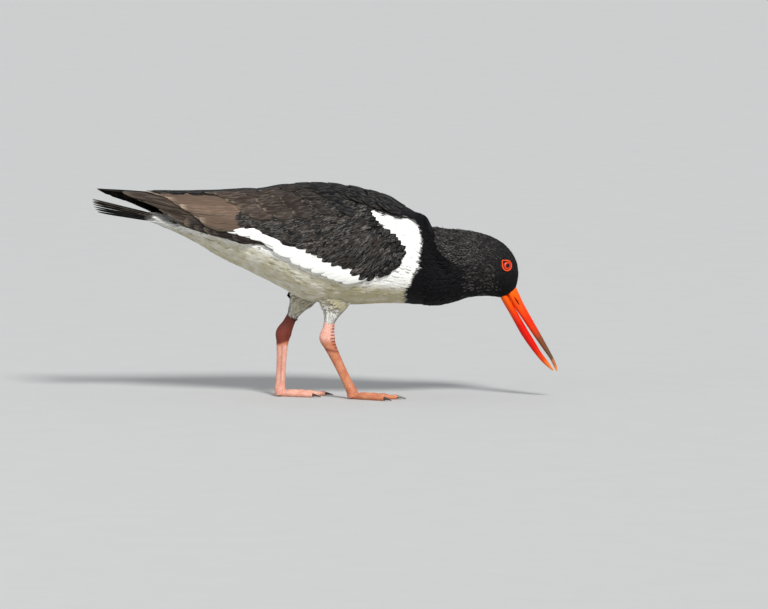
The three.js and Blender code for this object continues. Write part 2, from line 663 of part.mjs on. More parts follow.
const wholeBody = bodySolid(0, true);
const torsoGrown = bodySolid(GAP, true);
const headGrown = bodySolid(GAP, false);
const behindNeck = part(wholeBody, NECK_CUT, 1);
const beforeTorso = part(wholeBody, NECK_CUT, -1);
const torso = part(behindNeck, BACK_CUT, -1);
const back = part(behindNeck, BACK_CUT, 1);
const wholeTail = tailSolid();
const neck = part(beforeTorso, HEAD_CUT, 1);
const wholeHead = part(beforeTorso, HEAD_CUT, -1);

const ring = eyeRing(0).subtract(eyeBall(GAP));
const eyeHole = eyeBall(GAP).add(eyeRing(GAP));
const head = wholeHead.subtract(eyeHole).subtract(mirrored(eyeHole));
const upperBill = billHalf(UPPER_BILL, true).subtract(nostril(-1)).subtract(nostril(1)).subtract(headGrown);
const lowerBill = billHalf(LOWER_BILL, false).subtract(headGrown);

const wingForm = (reach) => union([wingArm(), ...wingTiers(reach)]);

bird.add(
  meshOf("torso", torso, WHITE_PLUMAGE),
  meshOf("back", back, BLACK_PLUMAGE),
  meshOf("neck", neck, BLACK_PLUMAGE),
  meshOf("head", head, BLACK_PLUMAGE),
  meshOf("bill_upper", upperBill, BILL_HORN),
  meshOf("bill_lower", lowerBill, BILL_HORN),
  meshOf("eye_right", eyeBall(0), IRIS),
  meshOf("eye_left", mirrored(eyeBall(0)), IRIS),
  meshOf("eye_ring_right", ring, LID_SKIN),
  meshOf("eye_ring_left", mirrored(ring), LID_SKIN),
  meshOf("tail_coverts", part(wholeTail, TAIL_CUT, -1), WHITE_PLUMAGE),
  meshOf("tail", part(wholeTail, TAIL_CUT, 1), BLACK_PLUMAGE),
  meshOf("wing_right", wingForm(0).subtract(torsoGrown), BROWN_PLUMAGE),
  meshOf("wing_left", mirrored(wingForm(LEFT_TIP_REACH)).subtract(torsoGrown), BROWN_PLUMAGE),
  ...legMeshes(RIGHT_LEG, torsoGrown),
  ...legMeshes(LEFT_LEG, torsoGrown),
);

// The origin is on the floor, under the middle of the bounding box.
const bounds = new THREE.Box3().setFromObject(bird, true);
const middle = bounds.getCenter(new THREE.Vector3());
bird.position.set(-middle.x, -middle.y, -bounds.min.z);

export default bird;
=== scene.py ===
import math

import bmesh
import bpy
import numpy as np
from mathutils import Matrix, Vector
from mathutils.kdtree import KDTree


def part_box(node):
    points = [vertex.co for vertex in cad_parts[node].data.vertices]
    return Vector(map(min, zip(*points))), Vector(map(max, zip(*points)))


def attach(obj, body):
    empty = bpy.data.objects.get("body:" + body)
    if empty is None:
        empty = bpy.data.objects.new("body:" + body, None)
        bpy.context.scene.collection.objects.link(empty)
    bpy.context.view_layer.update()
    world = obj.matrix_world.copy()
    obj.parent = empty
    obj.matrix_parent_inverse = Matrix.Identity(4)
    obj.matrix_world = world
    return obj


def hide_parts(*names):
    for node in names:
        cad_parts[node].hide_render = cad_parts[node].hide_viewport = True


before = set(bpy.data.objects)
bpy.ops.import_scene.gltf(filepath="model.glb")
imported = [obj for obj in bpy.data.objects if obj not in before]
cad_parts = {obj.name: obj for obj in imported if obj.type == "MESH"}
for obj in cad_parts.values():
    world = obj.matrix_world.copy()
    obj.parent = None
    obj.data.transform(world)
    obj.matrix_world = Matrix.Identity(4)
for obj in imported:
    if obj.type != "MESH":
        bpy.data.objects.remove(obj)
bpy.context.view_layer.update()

MILLIMETRE = 0.001
DEGREE = math.pi / 180
SOURCE_BILL_TIP = 189.2  # forward place of the tip of the upper bill in the source
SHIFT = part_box("bill_upper")[1].x / MILLIMETRE - SOURCE_BILL_TIP
SEED = 7
draws = np.random.default_rng(SEED)


def in_frame(points):
    """Points of the source, in millimetres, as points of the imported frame, in metres."""
    return (np.asarray(points, float) + (SHIFT, 0, 0)) * MILLIMETRE


def in_source(points):
    """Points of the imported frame, in metres, as points of the source, in millimetres."""
    return np.asarray(points, float) / MILLIMETRE - (SHIFT, 0, 0)


# Small numerical helpers.
def mix(a, b, t):
    return a + (b - a) * t


def ease(t):
    t = np.clip(t, 0, 1)
    return t * t * (3 - 2 * t)


def unit(vectors):
    return vectors / np.maximum(np.linalg.norm(vectors, axis=-1, keepdims=True), 1e-9)


def along(pairs, x):
    """The value at x of a list of (x, value) pairs in rising x, by straight stretches."""
    places, values = zip(*pairs)
    return np.interp(x, places, values)


def bell(x, width):
    """1 where x is 0, and smoothly less to both sides."""
    return np.exp(-((x / width) ** 2))


def full_turn(sides):
    """Evenly spaced angles, all the way round."""
    return np.linspace(0, 2 * np.pi, sides, endpoint=False)


def search_tree(points):
    """A tree that finds the nearest of the points."""
    tree = KDTree(len(points))
    for k, point in enumerate(points):
        tree.insert(point, k)
    tree.balance()
    return tree


def curve_through(points):
    """A smooth curve through the points, as a function of the place from 0 to 1."""
    points = np.asarray(points, float)
    before = 2 * points[:1] - points[1:2]
    after = 2 * points[-1:] - points[-2:-1]
    knots = np.concatenate([before, points, after])
    spans = len(points) - 1

    def at(place):
        run = np.clip(np.asarray(place, float), 0, 1) * spans
        span = np.minimum(run.astype(int), spans - 1)
        w = (run - span)[..., None]
        p0, p1, p2, p3 = (knots[span + k] for k in range(4))
        bend = 2 * p0 - 5 * p1 + 4 * p2 - p3
        return 0.5 * (2 * p1 + (p2 - p0) * w + bend * w**2 + (3 * p1 - p0 - 3 * p2 + p3) * w**3)

    return at


# Meshes. A form is its points, its triangles, and named values at its points.
def outward(points, triangles):
    """The triangles of a closed form, turned round if it was inside out."""
    a, b, c = (points[triangles[:, k]] for k in range(3))
    volume = np.sum(a * np.cross(b, c))
    return triangles if volume > 0 else triangles[:, ::-1]


def loft(rings):
    """Points and triangles of a closed form through rings of points, shape (rings, sides, 3)."""
    rows, sides = rings.shape[:2]
    ends = [rings[0].mean(0), rings[-1].mean(0)]
    points = np.concatenate([rings.reshape(-1, 3), ends])
    row, side = np.meshgrid(np.arange(rows - 1), np.arange(sides), indexing="ij")
    a = (row * sides + side).ravel()
    b = (row * sides + (side + 1) % sides).ravel()
    walls = np.concatenate([np.stack([a, b, b + sides], 1), np.stack([a, b + sides, a + sides], 1)])
    k = np.arange(sides)
    following = (k + 1) % sides
    last = (rows - 1) * sides
    first_cap = np.stack([np.full(sides, rows * sides), following, k], 1)
    last_cap = np.stack([np.full(sides, rows * sides + 1), last + k, last + following], 1)
    triangles = np.concatenate([walls, first_cap, last_cap])
    return points, outward(points, triangles)


def joined(forms):
    """Several (points, triangles, values) forms as one."""
    starts = np.cumsum([0] + [len(points) for points, _, _ in forms[:-1]])
    points = np.concatenate([form[0] for form in forms])
    triangles = np.concatenate([form[1] + start for form, start in zip(forms, starts)])
    values = {key: np.concatenate([form[2][key] for form in forms]) for key in forms[0][2]}
    return points, triangles, values


def on_side(side, form):
    """A form of the right side, turned over for the left."""
    if side == "right":
        return form
    points, triangles, values = form
    return points * (1, -1, 1), triangles[:, ::-1], values


def paint(mesh, name, values):
    """Keeps a value for each point of the mesh: a number, or three of them."""
    values = np.asarray(values, np.float32)
    kind, field = ("FLOAT", "value") if values.ndim == 1 else ("FLOAT_VECTOR", "vector")
    layer = mesh.attributes.get(name) or mesh.attributes.new(name, kind, "POINT")
    layer.data.foreach_set(field, values.ravel())


def placed(name, data):
    """An object that shows the data, in the scene."""
    obj = bpy.data.objects.new(name, data)
    bpy.context.scene.collection.objects.link(obj)
    return obj


def piece_of(name, form, finish):
    """An object from a form in source millimetres."""
    points, triangles, values = form
    mesh = bpy.data.meshes.new(name)
    mesh.from_pydata(in_frame(points), [], triangles)
    mesh.shade_smooth()
    for key, value in values.items():
        paint(mesh, key, value)
    mesh.materials.append(finish)
    return placed(name, mesh)


def triples(layer, field):
    """What a layer of a mesh holds as three numbers for each point."""
    values = np.zeros(len(layer) * 3, np.float32)
    layer.foreach_get(field, values)
    return values.reshape(-1, 3)


def points_of(mesh):
    """The mesh's points in source millimetres."""
    return in_source(triples(mesh.vertices, "co"))


def normals_of(mesh):
    return triples(mesh.vertex_normals, "vector")


def vectors_of(mesh, name):
    """What paint() or a tree kept as three numbers for each point."""
    return triples(mesh.attributes[name].data, "vector")


def plain_mesh(obj):
    """Replaces an object's mesh with what its modifiers make of it, and drops them."""
    graph = bpy.context.evaluated_depsgraph_get()
    mesh = bpy.data.meshes.new_from_object(obj.evaluated_get(graph))
    mesh.name = obj.name
    obj.modifiers.clear()
    obj.data = mesh
    return mesh


def fused(name, forms, voxel, smoothing, finish):
    """One closed skin round several overlapping forms."""
    obj = piece_of(name, joined(forms), finish)
    remesh = obj.modifiers.new("one skin", "REMESH")
    remesh.mode = "VOXEL"
    remesh.voxel_size = voxel * MILLIMETRE
    smooth = obj.modifiers.new("soften", "SMOOTH")
    smooth.factor = 0.5
    smooth.iterations = smoothing
    mesh = plain_mesh(obj)
    mesh.shade_smooth()
    if not mesh.materials:
        mesh.materials.append(finish)
    return obj


# The body's form, from the tail to the root of the bill: the point on the back, the point on the
# belly, the half width, and how far up the section that width lies.
BODY_SECTIONS = [
    ((-155, 153.5), (-155, 149.5), 8, 0.5),
    ((-140, 152.8), (-140, 142.4), 11.2, 0.5),
    ((-122, 151), (-122, 134.5), 13.5, 0.5),
    ((-105, 158), (-105, 125.5), 21, 0.52),
    ((-85, 164), (-85, 113.5), 29, 0.53),
    ((-65, 168.5), (-65, 104), 36, 0.53),
    ((-42, 173), (-42, 92.5), 41.5, 0.5),
    ((-18, 175.3), (-18, 80.5), 45, 0.49),
    ((5, 174.8), (5, 76.5), 46.5, 0.48),
    ((27, 171.3), (27, 76.3), 46.3, 0.47),
    ((47, 165.8), (47, 77), 44, 0.46),
    ((64, 158.3), (64, 76.8), 40, 0.45),
    ((78, 150), (78, 76), 35, 0.45),
    ((87.5, 141.5), (92, 76), 29.5, 0.45),
    ((97, 138.8), (105, 78.6), 25, 0.47),
    ((112, 137.6), (116, 82), 21.3, 0.5),
    ((128, 135.2), (125, 83.2), 18.8, 0.55),
    ((140, 130.3), (132.5, 83.2), 17.4, 0.58),
    ((149, 123), (137.5, 82.8), 15.8, 0.55),
    ((155, 113.5), (140, 82.5), 13.4, 0.5),
    ((157, 103), (141.3, 82.3), 10.8, 0.5),
    ((156, 94.5), (142, 82.3), 8.3, 0.5),
    ((154.2, 88.8), (142.3, 82.4), 6.4, 0.5),
]
BODY_SPANS = len(BODY_SECTIONS) - 1
BODY_SQUARENESS = 2.15
BACK_LINE = curve_through([back for back, _, _, _ in BODY_SECTIONS])
BELLY_LINE = curve_through([belly for _, belly, _, _ in BODY_SECTIONS])
GIRTH_LINE = curve_through([(half, mid) for _, _, half, mid in BODY_SECTIONS])


def squared(c):
    return np.sign(c) * np.abs(c) ** (2 / BODY_SQUARENESS)


def body_point(u, angle, grow=0.0, dented=False):
    """A point of the body: u from the tail to the bill, angle up from the right side."""
    u, angle, grow = np.broadcast_arrays(u, angle, grow)
    back, belly, girth = BACK_LINE(u), BELLY_LINE(u), GIRTH_LINE(u)
    centre = mix(belly, back, girth[..., 1:])
    across, up = squared(np.cos(angle)), squared(np.sin(angle))
    reach = np.where(up[..., None] > 0, back, belly) - centre
    arm = unit(reach) * ((np.linalg.norm(reach, axis=-1) + grow) * np.abs(up))[..., None]
    side = -across * (girth[..., 0] + grow)
    if dented:
        length = np.hypot(np.linalg.norm(arm, axis=-1), side)
        dent = wing_dent(centre[..., 0], np.arctan2(up, np.abs(across)) / DEGREE)
        shorter = np.maximum(1, length - dent) / np.maximum(length, 1e-6)
        arm, side = arm * shorter[..., None], side * shorter
    return np.stack([centre[..., 0] + arm[..., 0], side, centre[..., 1] + arm[..., 1]], -1)


# The markings and the wings' edges are stated as seen from the camera, a little above the bird.
# On the bird they lie this much farther up round the body.
VIEW_TURN = 4.5

# The folded wing: its outline on the flank, in millimetres forward and degrees round the section.
WING_FRONT = 66
WING_DEPTH = 4.6
WING_TOP_EDGE = [(-122, 66), (-20, 64), (20, 60), (35, 47), (47, 31), (58, 20), (66, 7)]
COVERT_EDGE = [
    (-122, 4), (-75, 1), (-55, -2), (-31, -7), (-15, -10), (8, -20),
    (28, -36), (40, -31), (50, -25), (60, -14), (66, 3),
]
FLANK_EDGE = [
    (-122, -6), (-72, -16), (-61, -22), (-33, -23), (-17, -29), (8, -33), (28, -39), (50, -28), (66, 0),
]
# Behind the flank the wings make a narrow roof over the tail: x, top, middle, low and half width.
ROOF = [
    (-190, 171.4, 168.8, 165, 4.5),
    (-165, 170.2, 165.5, 160, 9.5),
    (-146, 169, 159.5, 150, 15),
    (-118, 168.6, 145, 130, 24),
    (-90, 169.2, 140.5, 116, 32),
    (-66, 170.6, 139, 104, 38.2),
]
FLANK_START = -66
FLANK_FULL = -40
# The dent that the wing lies in begins here, and deepens over so many degrees or millimetres.
DENT_REAR = -135
DENT_SLOPES = {"top": 16, "bottom": 24, "front": 14, "rear": 12}


def wing_dent(x, degrees):
    """Depth of the dent that the folded wing lies in."""
    degrees = degrees - VIEW_TURN
    top = (along(WING_TOP_EDGE, x) - degrees) / DENT_SLOPES["top"]
    bottom = (degrees - along(FLANK_EDGE, x)) / DENT_SLOPES["bottom"]
    front = (WING_FRONT - x) / DENT_SLOPES["front"]
    rear = (x - DENT_REAR) / DENT_SLOPES["rear"]
    return WING_DEPTH * ease(top) * ease(bottom) * ease(front) * ease(rear)


def place_on_back(x):
    """The place u on the body whose back line is at x."""
    u = np.linspace(0, 0.6, 400)
    return np.interp(x, BACK_LINE(u)[:, 0], u)


def roof_point(x, angle, lift):
    xs = [row[0] for row in ROOF]
    top, middle, low, half = (np.interp(x, xs, [row[k] for row in ROOF]) for k in (1, 2, 3, 4))
    across, up = squared(np.cos(angle)), squared(np.sin(angle))
    rise = np.where(up > 0, top - middle, middle - low)
    return np.stack([x, -across * (half + lift), middle + up * (rise + lift)], -1)


def wing_point(x, angle, lift):
    """A point of the right wing's surface, lift outside it."""
    x, angle, lift = np.broadcast_arrays(np.asarray(x, float), angle, lift)
    share = ease((x - FLANK_START) / (FLANK_FULL - FLANK_START))[..., None]
    return mix(roof_point(x, angle, lift), body_point(place_on_back(x), angle, lift), share)


# Markings, in the side view. Inside this outline the body is white.
WHITE_OUTLINE = np.array([
    (62, 50), (63.5, 77.9), (64, 86.9), (67.2, 91.8), (70.9, 100.9), (74.6, 107.4), (74.6, 113.2),
    (75.9, 121.4), (77.1, 127.1), (76.3, 134.5), (74.6, 141), (70.9, 144.3), (65.6, 147),
    (57.4, 147.3), (45.9, 150.9), (36.1, 154.2), (10, 150), (-60, 146), (-112, 148), (-122, 180),
    (-230, 180), (-230, 50),
])


def depth_in_white(points):
    """How far inside the white outline the points lie in the side view, below zero outside it."""
    seen_height = points[:, 2] - np.abs(points[:, 1]) * math.tan(VIEW_TURN * DEGREE)
    flat = np.stack([points[:, 0], seen_height], 1)
    nearest = np.full(len(flat), np.inf)
    inside = np.zeros(len(flat), bool)
    for start, end in zip(WHITE_OUTLINE, np.roll(WHITE_OUTLINE, -1, axis=0)):
        run = end - start
        t = np.clip((flat - start) @ run / (run @ run), 0, 1)
        nearest = np.minimum(nearest, np.linalg.norm(flat - start - t[:, None] * run, axis=1))
        crosses = (start[1] > flat[:, 1]) != (end[1] > flat[:, 1])
        at = start[0] + (flat[:, 1] - start[1]) * run[0] / (run[1] if run[1] else 1e-9)
        inside ^= crosses & (flat[:, 0] < at)
    return np.where(inside, nearest, -nearest)


# Finishes.
UNDERSIDE = (-0.6, -0.4)  # the feather's facing against the skin's, from underside to top side


class Nodes:
    """A node tree, to which node() adds a node: its settings, then its inputs, set or linked."""

    def node(self, kind, inputs=(), output=0, **settings):
        made = self.tree.nodes.new(kind)
        for key, value in settings.items():
            setattr(made, key, value)
        for key, value in dict(inputs).items():
            if isinstance(value, bpy.types.NodeSocket):
                self.tree.links.new(value, made.inputs[key])
            else:
                made.inputs[key].default_value = value
        return made.outputs[output]


class Finish(Nodes):
    """A material, with short ways to add the nodes that paint it."""

    def __init__(self, name, **sockets):
        self.material = bpy.data.materials.new(name)
        self.material.use_nodes = True
        self.tree = self.material.node_tree
        self.shader = self.tree.nodes["Principled BSDF"]
        for socket, value in sockets.items():
            self.shader.inputs[socket.replace("_", " ")].default_value = value

    def value(self, name):
        return self.node("ShaderNodeAttribute", output="Fac", attribute_name=name)

    def vector(self, name):
        return self.node("ShaderNodeAttribute", output="Vector", attribute_name=name)

    def parts(self, vector):
        split = self.node("ShaderNodeSeparateXYZ", {0: vector}).node
        return split.outputs

    def math(self, operation, a, b=0.0):
        return self.node("ShaderNodeMath", {0: a, 1: b}, operation=operation)

    def blend(self, factor, a, b, blend_type="MIX"):
        settings = {"data_type": "RGBA", "blend_type": blend_type, "clamp_factor": True}
        return self.node("ShaderNodeMix", {0: factor, 6: opaque(a), 7: opaque(b)}, output=2, **settings)

    def span(self, value, low, high, to_low=0.0, to_high=1.0):
        """The value, taken smoothly from its span low..high to another."""
        inputs = {0: value, 1: low, 2: high, 3: to_low, 4: to_high}
        return self.node("ShaderNodeMapRange", inputs, interpolation_type="SMOOTHSTEP")

    def noise(self, size, detail=3.0, vector=None):
        """Noise whose marks are about size millimetres across."""
        where = vector or self.node("ShaderNodeTexCoord", output="Object")
        scale = 1 / (size * MILLIMETRE)
        return self.node("ShaderNodeTexNoise", {"Vector": where, "Scale": scale, "Detail": detail})

    def stops(self, value, *stops):
        """A colour ramp through (place, colour) stops."""
        ramp = self.node("ShaderNodeValToRGB", {0: value}).node
        elements = ramp.color_ramp.elements
        for place, colour in stops[2:]:
            elements.new(place)
        for element, (place, colour) in zip(elements, stops):
            element.position = place
            element.color = opaque(colour)
        return ramp.outputs[0]

    def colour(self, socket):
        self.tree.links.new(socket, self.shader.inputs["Base Color"])

    def bump(self, height, depth, skin_shading=0.0):
        """Raises the surface by up to depth millimetres, shaded partly as the skin below it.

        A feather's underside takes the skin's facing turned round.
        """
        inputs = {"Height": height, "Distance": depth * MILLIMETRE, "Strength": 1.0}
        if skin_shading:
            own = self.node("ShaderNodeNewGeometry", output="Normal")
            skin_way = self.vector("out")
            agreement = self.node(
                "ShaderNodeVectorMath", {0: own, 1: skin_way}, output="Value", operation="DOT_PRODUCT")
            side = self.span(agreement, *UNDERSIDE, -1.0, 1.0)
            skin_way = self.node("ShaderNodeVectorMath", {0: skin_way, "Scale": side}, operation="SCALE")
            mixed = self.node(
                "ShaderNodeMix", {0: skin_shading, 4: own, 5: skin_way}, output=1, data_type="VECTOR")
            inputs["Normal"] = self.node("ShaderNodeVectorMath", {0: mixed}, operation="NORMALIZE")
        self.tree.links.new(self.node("ShaderNodeBump", inputs), self.shader.inputs["Normal"])


def opaque(colour):
    return colour if isinstance(colour, bpy.types.NodeSocket) else (*colour, 1.0)


BLACK = (0.0030, 0.0030, 0.0037)
# Grey of the black feathers' lit strands: painted sheen, with some wear.
SHEEN_GREY = (0.118, 0.110, 0.101)
BROWN = (0.135, 0.090, 0.063)
# Pale feather edges, and painted glints on the rims of black feathers.
FRINGE_AND_GLINT = (0.26, 0.205, 0.15)
WHITE = (0.86, 0.85, 0.81)
# Greyer white at the root of a white feather: painted shade where the feathers above cover it.
SHADED_WHITE_ROOT = (0.80, 0.79, 0.745)
# Khaki of the white feathers low on the body: part stain, part painted shade.
STAIN_AND_SHADE = (0.46, 0.42, 0.275)


def plumage(name, barbs, lines, depth, contrast, skin_shading=0.0):
    """Feathers, coloured by what they carry: white, brown, the grey of painted sheen and wear, pale fringes
    and painted glints, the khaki of stain and painted shade, and tone.

    Streaks run out from the shaft, barbs of them down the feather and lines of them across it.
    """
    finish = Finish(name, Roughness=0.62, Specular_IOR_Level=0.10)
    run, across, _ = finish.parts(finish.vector("leaf"))
    off_shaft = finish.math("ABSOLUTE", across)
    tone = finish.value("tone")
    barb = finish.math("SUBTRACT", run, finish.math("MULTIPLY", off_shaft, 0.35))
    places = {
        "X": finish.math("MULTIPLY", barb, barbs), "Y": finish.math("MULTIPLY", across, lines),
        "Z": finish.math("MULTIPLY", tone, 40.0),
    }
    strands = finish.noise(1 / MILLIMETRE, 2, finish.node("ShaderNodeCombineXYZ", places))
    edge = finish.span(off_shaft, 0.74, 0.97)
    tip = finish.span(run, 0.90, 0.99)
    rim = finish.math("MAXIMUM", edge, tip)
    cloud = finish.noise(9.0)

    # Painted sheen and wear: grey strands over the black.
    streaked = finish.math("MULTIPLY", finish.value("worn"), finish.span(strands, 0.40, 0.68))
    dark = finish.blend(streaked, BLACK, SHEEN_GREY)
    dark = finish.blend(finish.value("brown"), dark, BROWN)
    # Pale fringes, and painted glints on the rims of black feathers.
    fringe = finish.math("MULTIPLY", rim, finish.value("fringe"))
    frayed = finish.math("MULTIPLY", fringe, finish.span(strands, 0.3, 0.6, 0.35, 1.0))
    dark = finish.blend(frayed, dark, FRINGE_AND_GLINT)
    # Painted shade at the root, white at the tip.
    white = finish.blend(finish.span(run, 0.1, 0.75), SHADED_WHITE_ROOT, WHITE)
    # Painted stain and shade, broken up by a cloud.
    stained_and_shaded = finish.math("MULTIPLY", finish.value("stain"), finish.span(cloud, 0.3, 0.65, 0.6, 1.0))
    white = finish.blend(stained_and_shaded, white, STAIN_AND_SHADE)
    base = finish.blend(finish.value("white"), dark, white)
    strength = finish.span(finish.value("white"), 0, 1, contrast, 0.12)
    swing = finish.math("MULTIPLY", finish.math("SUBTRACT", strands, 0.5), strength)
    shade = finish.math("ADD", finish.math("MULTIPLY", tone, 0.16), swing)
    lighter = finish.blend(1.0, base, (1.9, 1.9, 1.9), "MULTIPLY")
    darker = finish.blend(1.0, base, (0.35, 0.35, 0.35), "MULTIPLY")
    base = finish.blend(finish.span(shade, 0, 0.7), base, lighter)
    finish.colour(finish.blend(finish.span(shade, 0, -0.7), base, darker))
    finish.bump(strands, depth, skin_shading)
    return finish.material


VANE_FINISH = plumage("long_feathers", barbs=9, lines=7, depth=0.10, contrast=1.1)
COVERT_FINISH = plumage("covert_feathers", barbs=5, lines=3.5, depth=0.14, contrast=1.0)
SMALL_FINISH = plumage(
    "small_feathers", barbs=3, lines=2.5, depth=0.05, contrast=0.8, skin_shading=0.5)
THIGH_FINISH = plumage(
    "thigh_feathers", barbs=3, lines=2.5, depth=0.05, contrast=0.6, skin_shading=0.85)


def skin_finish():
    """The skin under the coat, marked as the coat is."""
    finish = Finish("skin_under_coat", Roughness=0.8)
    speckle = finish.noise(1.6)
    dark = finish.blend(speckle, BLACK, tuple(2.5 * part for part in BLACK))
    # The skin's white is speckled with the painted root shade.
    white = finish.blend(speckle, SHADED_WHITE_ROOT, WHITE)
    finish.colour(finish.blend(finish.value("white"), dark, white))
    finish.bump(speckle, 0.2)
    return finish.material


# Skin: the body and both thighs under one skin, inside the solids by the coat's depth.
RIGHT_LEG = {
    "hip": (10, 92), "cuff": (2.4, 66), "ankle": (0, 49), "sole": (20.6, 5.6),
    "side": -13.5, "sole_place": -12, "heading": -4 * DEGREE,
}
LEFT_LEG = {
    "hip": (-12, 96), "cuff": (-27.4, 69), "ankle": (-36.4, 50.8), "sole": (-38.8, 5.6),
    "side": 13.5, "sole_place": 13, "heading": 5 * DEGREE,
}
LEGS = {"right": RIGHT_LEG, "left": LEFT_LEG}


def leg_joints(leg):
    """Hip, cuff, ankle and sole as points, and the ways down the shank and the tarsus."""
    hip = np.array([leg["hip"][0], leg["side"], leg["hip"][1]], float)
    cuff = np.array([leg["cuff"][0], leg["side"], leg["cuff"][1]], float)
    ankle = np.array([leg["ankle"][0], mix(leg["side"], leg["sole_place"], 0.3), leg["ankle"][1]], float)
    sole = np.array([leg["sole"][0], leg["sole_place"], leg["sole"][1]], float)
    return hip, cuff, ankle, sole, unit(ankle - cuff), unit(sole - ankle)


def limb(stations, rows, sides):
    """Rings round a limb through stations (point, half depth forward, half width)."""
    place = np.linspace(0, 1, rows)
    line = curve_through([at for at, _, _ in stations])
    girth = curve_through([(fore, side) for _, fore, side in stations])(place)
    ahead = unit(line(np.minimum(place + 0.01, 1)) - line(np.maximum(place - 0.01, 0)))
    lateral = unit(np.array([0, 1, 0]) - ahead * ahead[:, 1:2])
    fore = np.cross(lateral, ahead)
    turn = full_turn(sides)[None, :, None]
    wide = girth[:, None, :]
    return line(place)[:, None] + fore[:, None] * wide[..., :1] * np.cos(turn) + (
        lateral[:, None] * wide[..., 1:] * np.sin(turn))


THIGH_COAT = 1.3


def thigh_form(leg):
    hip, cuff, _, _, shank_down, _ = leg_joints(leg)
    end = cuff + shank_down
    stations = [
        (hip, 17, 13),
        (mix(hip, cuff, 0.42), 13, 10.5),
        (mix(hip, cuff, 0.75), 8.4, 7.4),
        (end, 4.9, 4.6),
        (end + 2.5 * shank_down, 4.6, 4.4),
    ]
    inside = [(at, fore - THIGH_COAT * (1 - k / 4), side - THIGH_COAT * (1 - k / 4))
              for k, (at, fore, side) in enumerate(stations)]
    points, triangles = loft(limb(inside, 40, 40))
    return points, triangles, {}


COAT_DEPTH = [(0, 1.0), (4, 1.5), (10, 1.5), (14, 1.1), (18, 0.7), (22, 0.5)]  # by section number
SKIN_ROWS = 190
SKIN_SIDES = 120
SKIN_VOXEL = 1.1

# Where the neck tucks under the shoulder: forward places of the crease by height.
CREASE = [(106, 106), (110, 103), (117, 97), (126, 89.5), (144, 85.5), (150, 84)]
CREASE_DEPTH = 2.4
SHOULDER_SWELL = 0.9


def nape_crease(points):
    """How far the skin swells, or sinks below zero, along the crease behind the neck."""
    x, z = points[..., 0], points[..., 2]
    ahead = x - along(CREASE, z)
    here = ease((z - 106) / 9)
    sunk = CREASE_DEPTH * bell(ahead - 1.2, 2.2)
    swollen = SHOULDER_SWELL * bell(ahead + 3.5, 4)
    return here * (swollen - sunk)


def body_form():
    u = np.linspace(0, 1, SKIN_ROWS)[:, None]
    angle = np.linspace(-np.pi, np.pi, SKIN_SIDES, endpoint=False)[None]
    depth = along(COAT_DEPTH, u * BODY_SPANS)
    fold = nape_crease(body_point(u, angle))
    points, triangles = loft(body_point(u, angle, fold - depth, dented=True))
    return points, triangles, {}


skin = fused(
    "skin", [body_form(), thigh_form(RIGHT_LEG), thigh_form(LEFT_LEG)],
    SKIN_VOXEL, smoothing=4, finish=skin_finish(),
)


class Body:
    """Finds the place on the body that lies nearest to a point: u, angle and the lie of the coat."""

    ROWS, SIDES = 320, 150

    def __init__(self):
        u = np.linspace(0, 1, self.ROWS)
        angle = np.linspace(-np.pi, np.pi, self.SIDES, endpoint=False)
        self.u, self.angle = (grid.ravel() for grid in np.meshgrid(u, angle, indexing="ij"))
        self.points = body_point(self.u, self.angle, dented=True)
        step = 0.006
        behind = body_point(np.maximum(self.u - step, 0), self.angle)
        before = body_point(np.minimum(self.u + step, 1), self.angle)
        self.lie = unit(behind - before)
        self.tree = search_tree(self.points)

    def nearest(self, points):
        """The number of the body point nearest to each of the points."""
        return np.array([self.tree.find(point)[1] for point in points])


body = Body()

LEFT_THIGH_OFFSET = 1.2  # keeps the left thigh apart from the right one on the baked map


def thigh_share(points):
    """0 on the body to 1 on a thigh, with the way down that thigh and the place down it."""
    share = np.zeros(len(points))
    down = np.zeros((len(points), 3))
    place = np.zeros(len(points))
    for leg in LEGS.values():
        hip, cuff, _, _, shank_down, _ = leg_joints(leg)
        run = cuff - hip
        t = np.clip((points - hip) @ run / (run @ run), 0, 1.1)
        reach = np.linalg.norm(points - hip - t[:, None] * run, axis=1)
        near = reach < mix(16.5, 6, np.clip(t, 0, 1))
        here = ease((t - 0.42) / 0.25) * near
        share = np.where(near, np.maximum(share, here), share)
        down[near] = mix(unit(run), shank_down, ease((t[near, None] - 0.7) / 0.4))
        place[near] = t[near] * 0.9 + (LEFT_THIGH_OFFSET if leg is LEFT_LEG else 0)
    return share, down, place


paint(skin.data, "white", ease(depth_in_white(points_of(skin.data)) / 2 + 0.5))

# The coat: small feathers rooted on the skin and laid along the body.
LEAF_STATIONS = [(0.12, 0.24), (0.38, 0.47), (0.66, 0.46), (0.87, 0.26)]  # place along, half width
LEAF_CAMBER = 0.035
LEAF_DROOP = 0.10


def feather_leaf():
    """One small feather, 1 long and 1 wide, with its root at the origin and its tip along +X."""
    points, leaf = [(0, 0, 0)], [(0, 0, 0)]
    for run, half in LEAF_STATIONS:
        droop = LEAF_DROOP * run**2
        for side in (-1, 0, 1):
            camber = LEAF_CAMBER if side == 0 else 0
            points.append((run, side * half, camber - droop))
            leaf.append((run, side * 0.9, 0))
    points.append((1, 0, -LEAF_DROOP))
    leaf.append((1, 0, 0))
    triangles = []
    for k in range(3):
        a, b = 1 + k, 1 + (k + 1) % 3
        triangles.append((0, a, b))
        for row in range(len(LEAF_STATIONS) - 1):
            p, q = a + 3 * row, b + 3 * row
            triangles += [(p, p + 3, q + 3), (p, q + 3, q)]
        last = 3 * (len(LEAF_STATIONS) - 1)
        triangles.append((a + last, len(points) - 1, b + last))
    points, triangles = np.array(points, float), np.array(triangles)
    mesh = bpy.data.meshes.new("feather_leaf")
    mesh.from_pydata(points, [], outward(points, triangles))
    mesh.shade_smooth()
    paint(mesh, "leaf", np.array(leaf, float))
    return placed("feather_leaf", mesh)


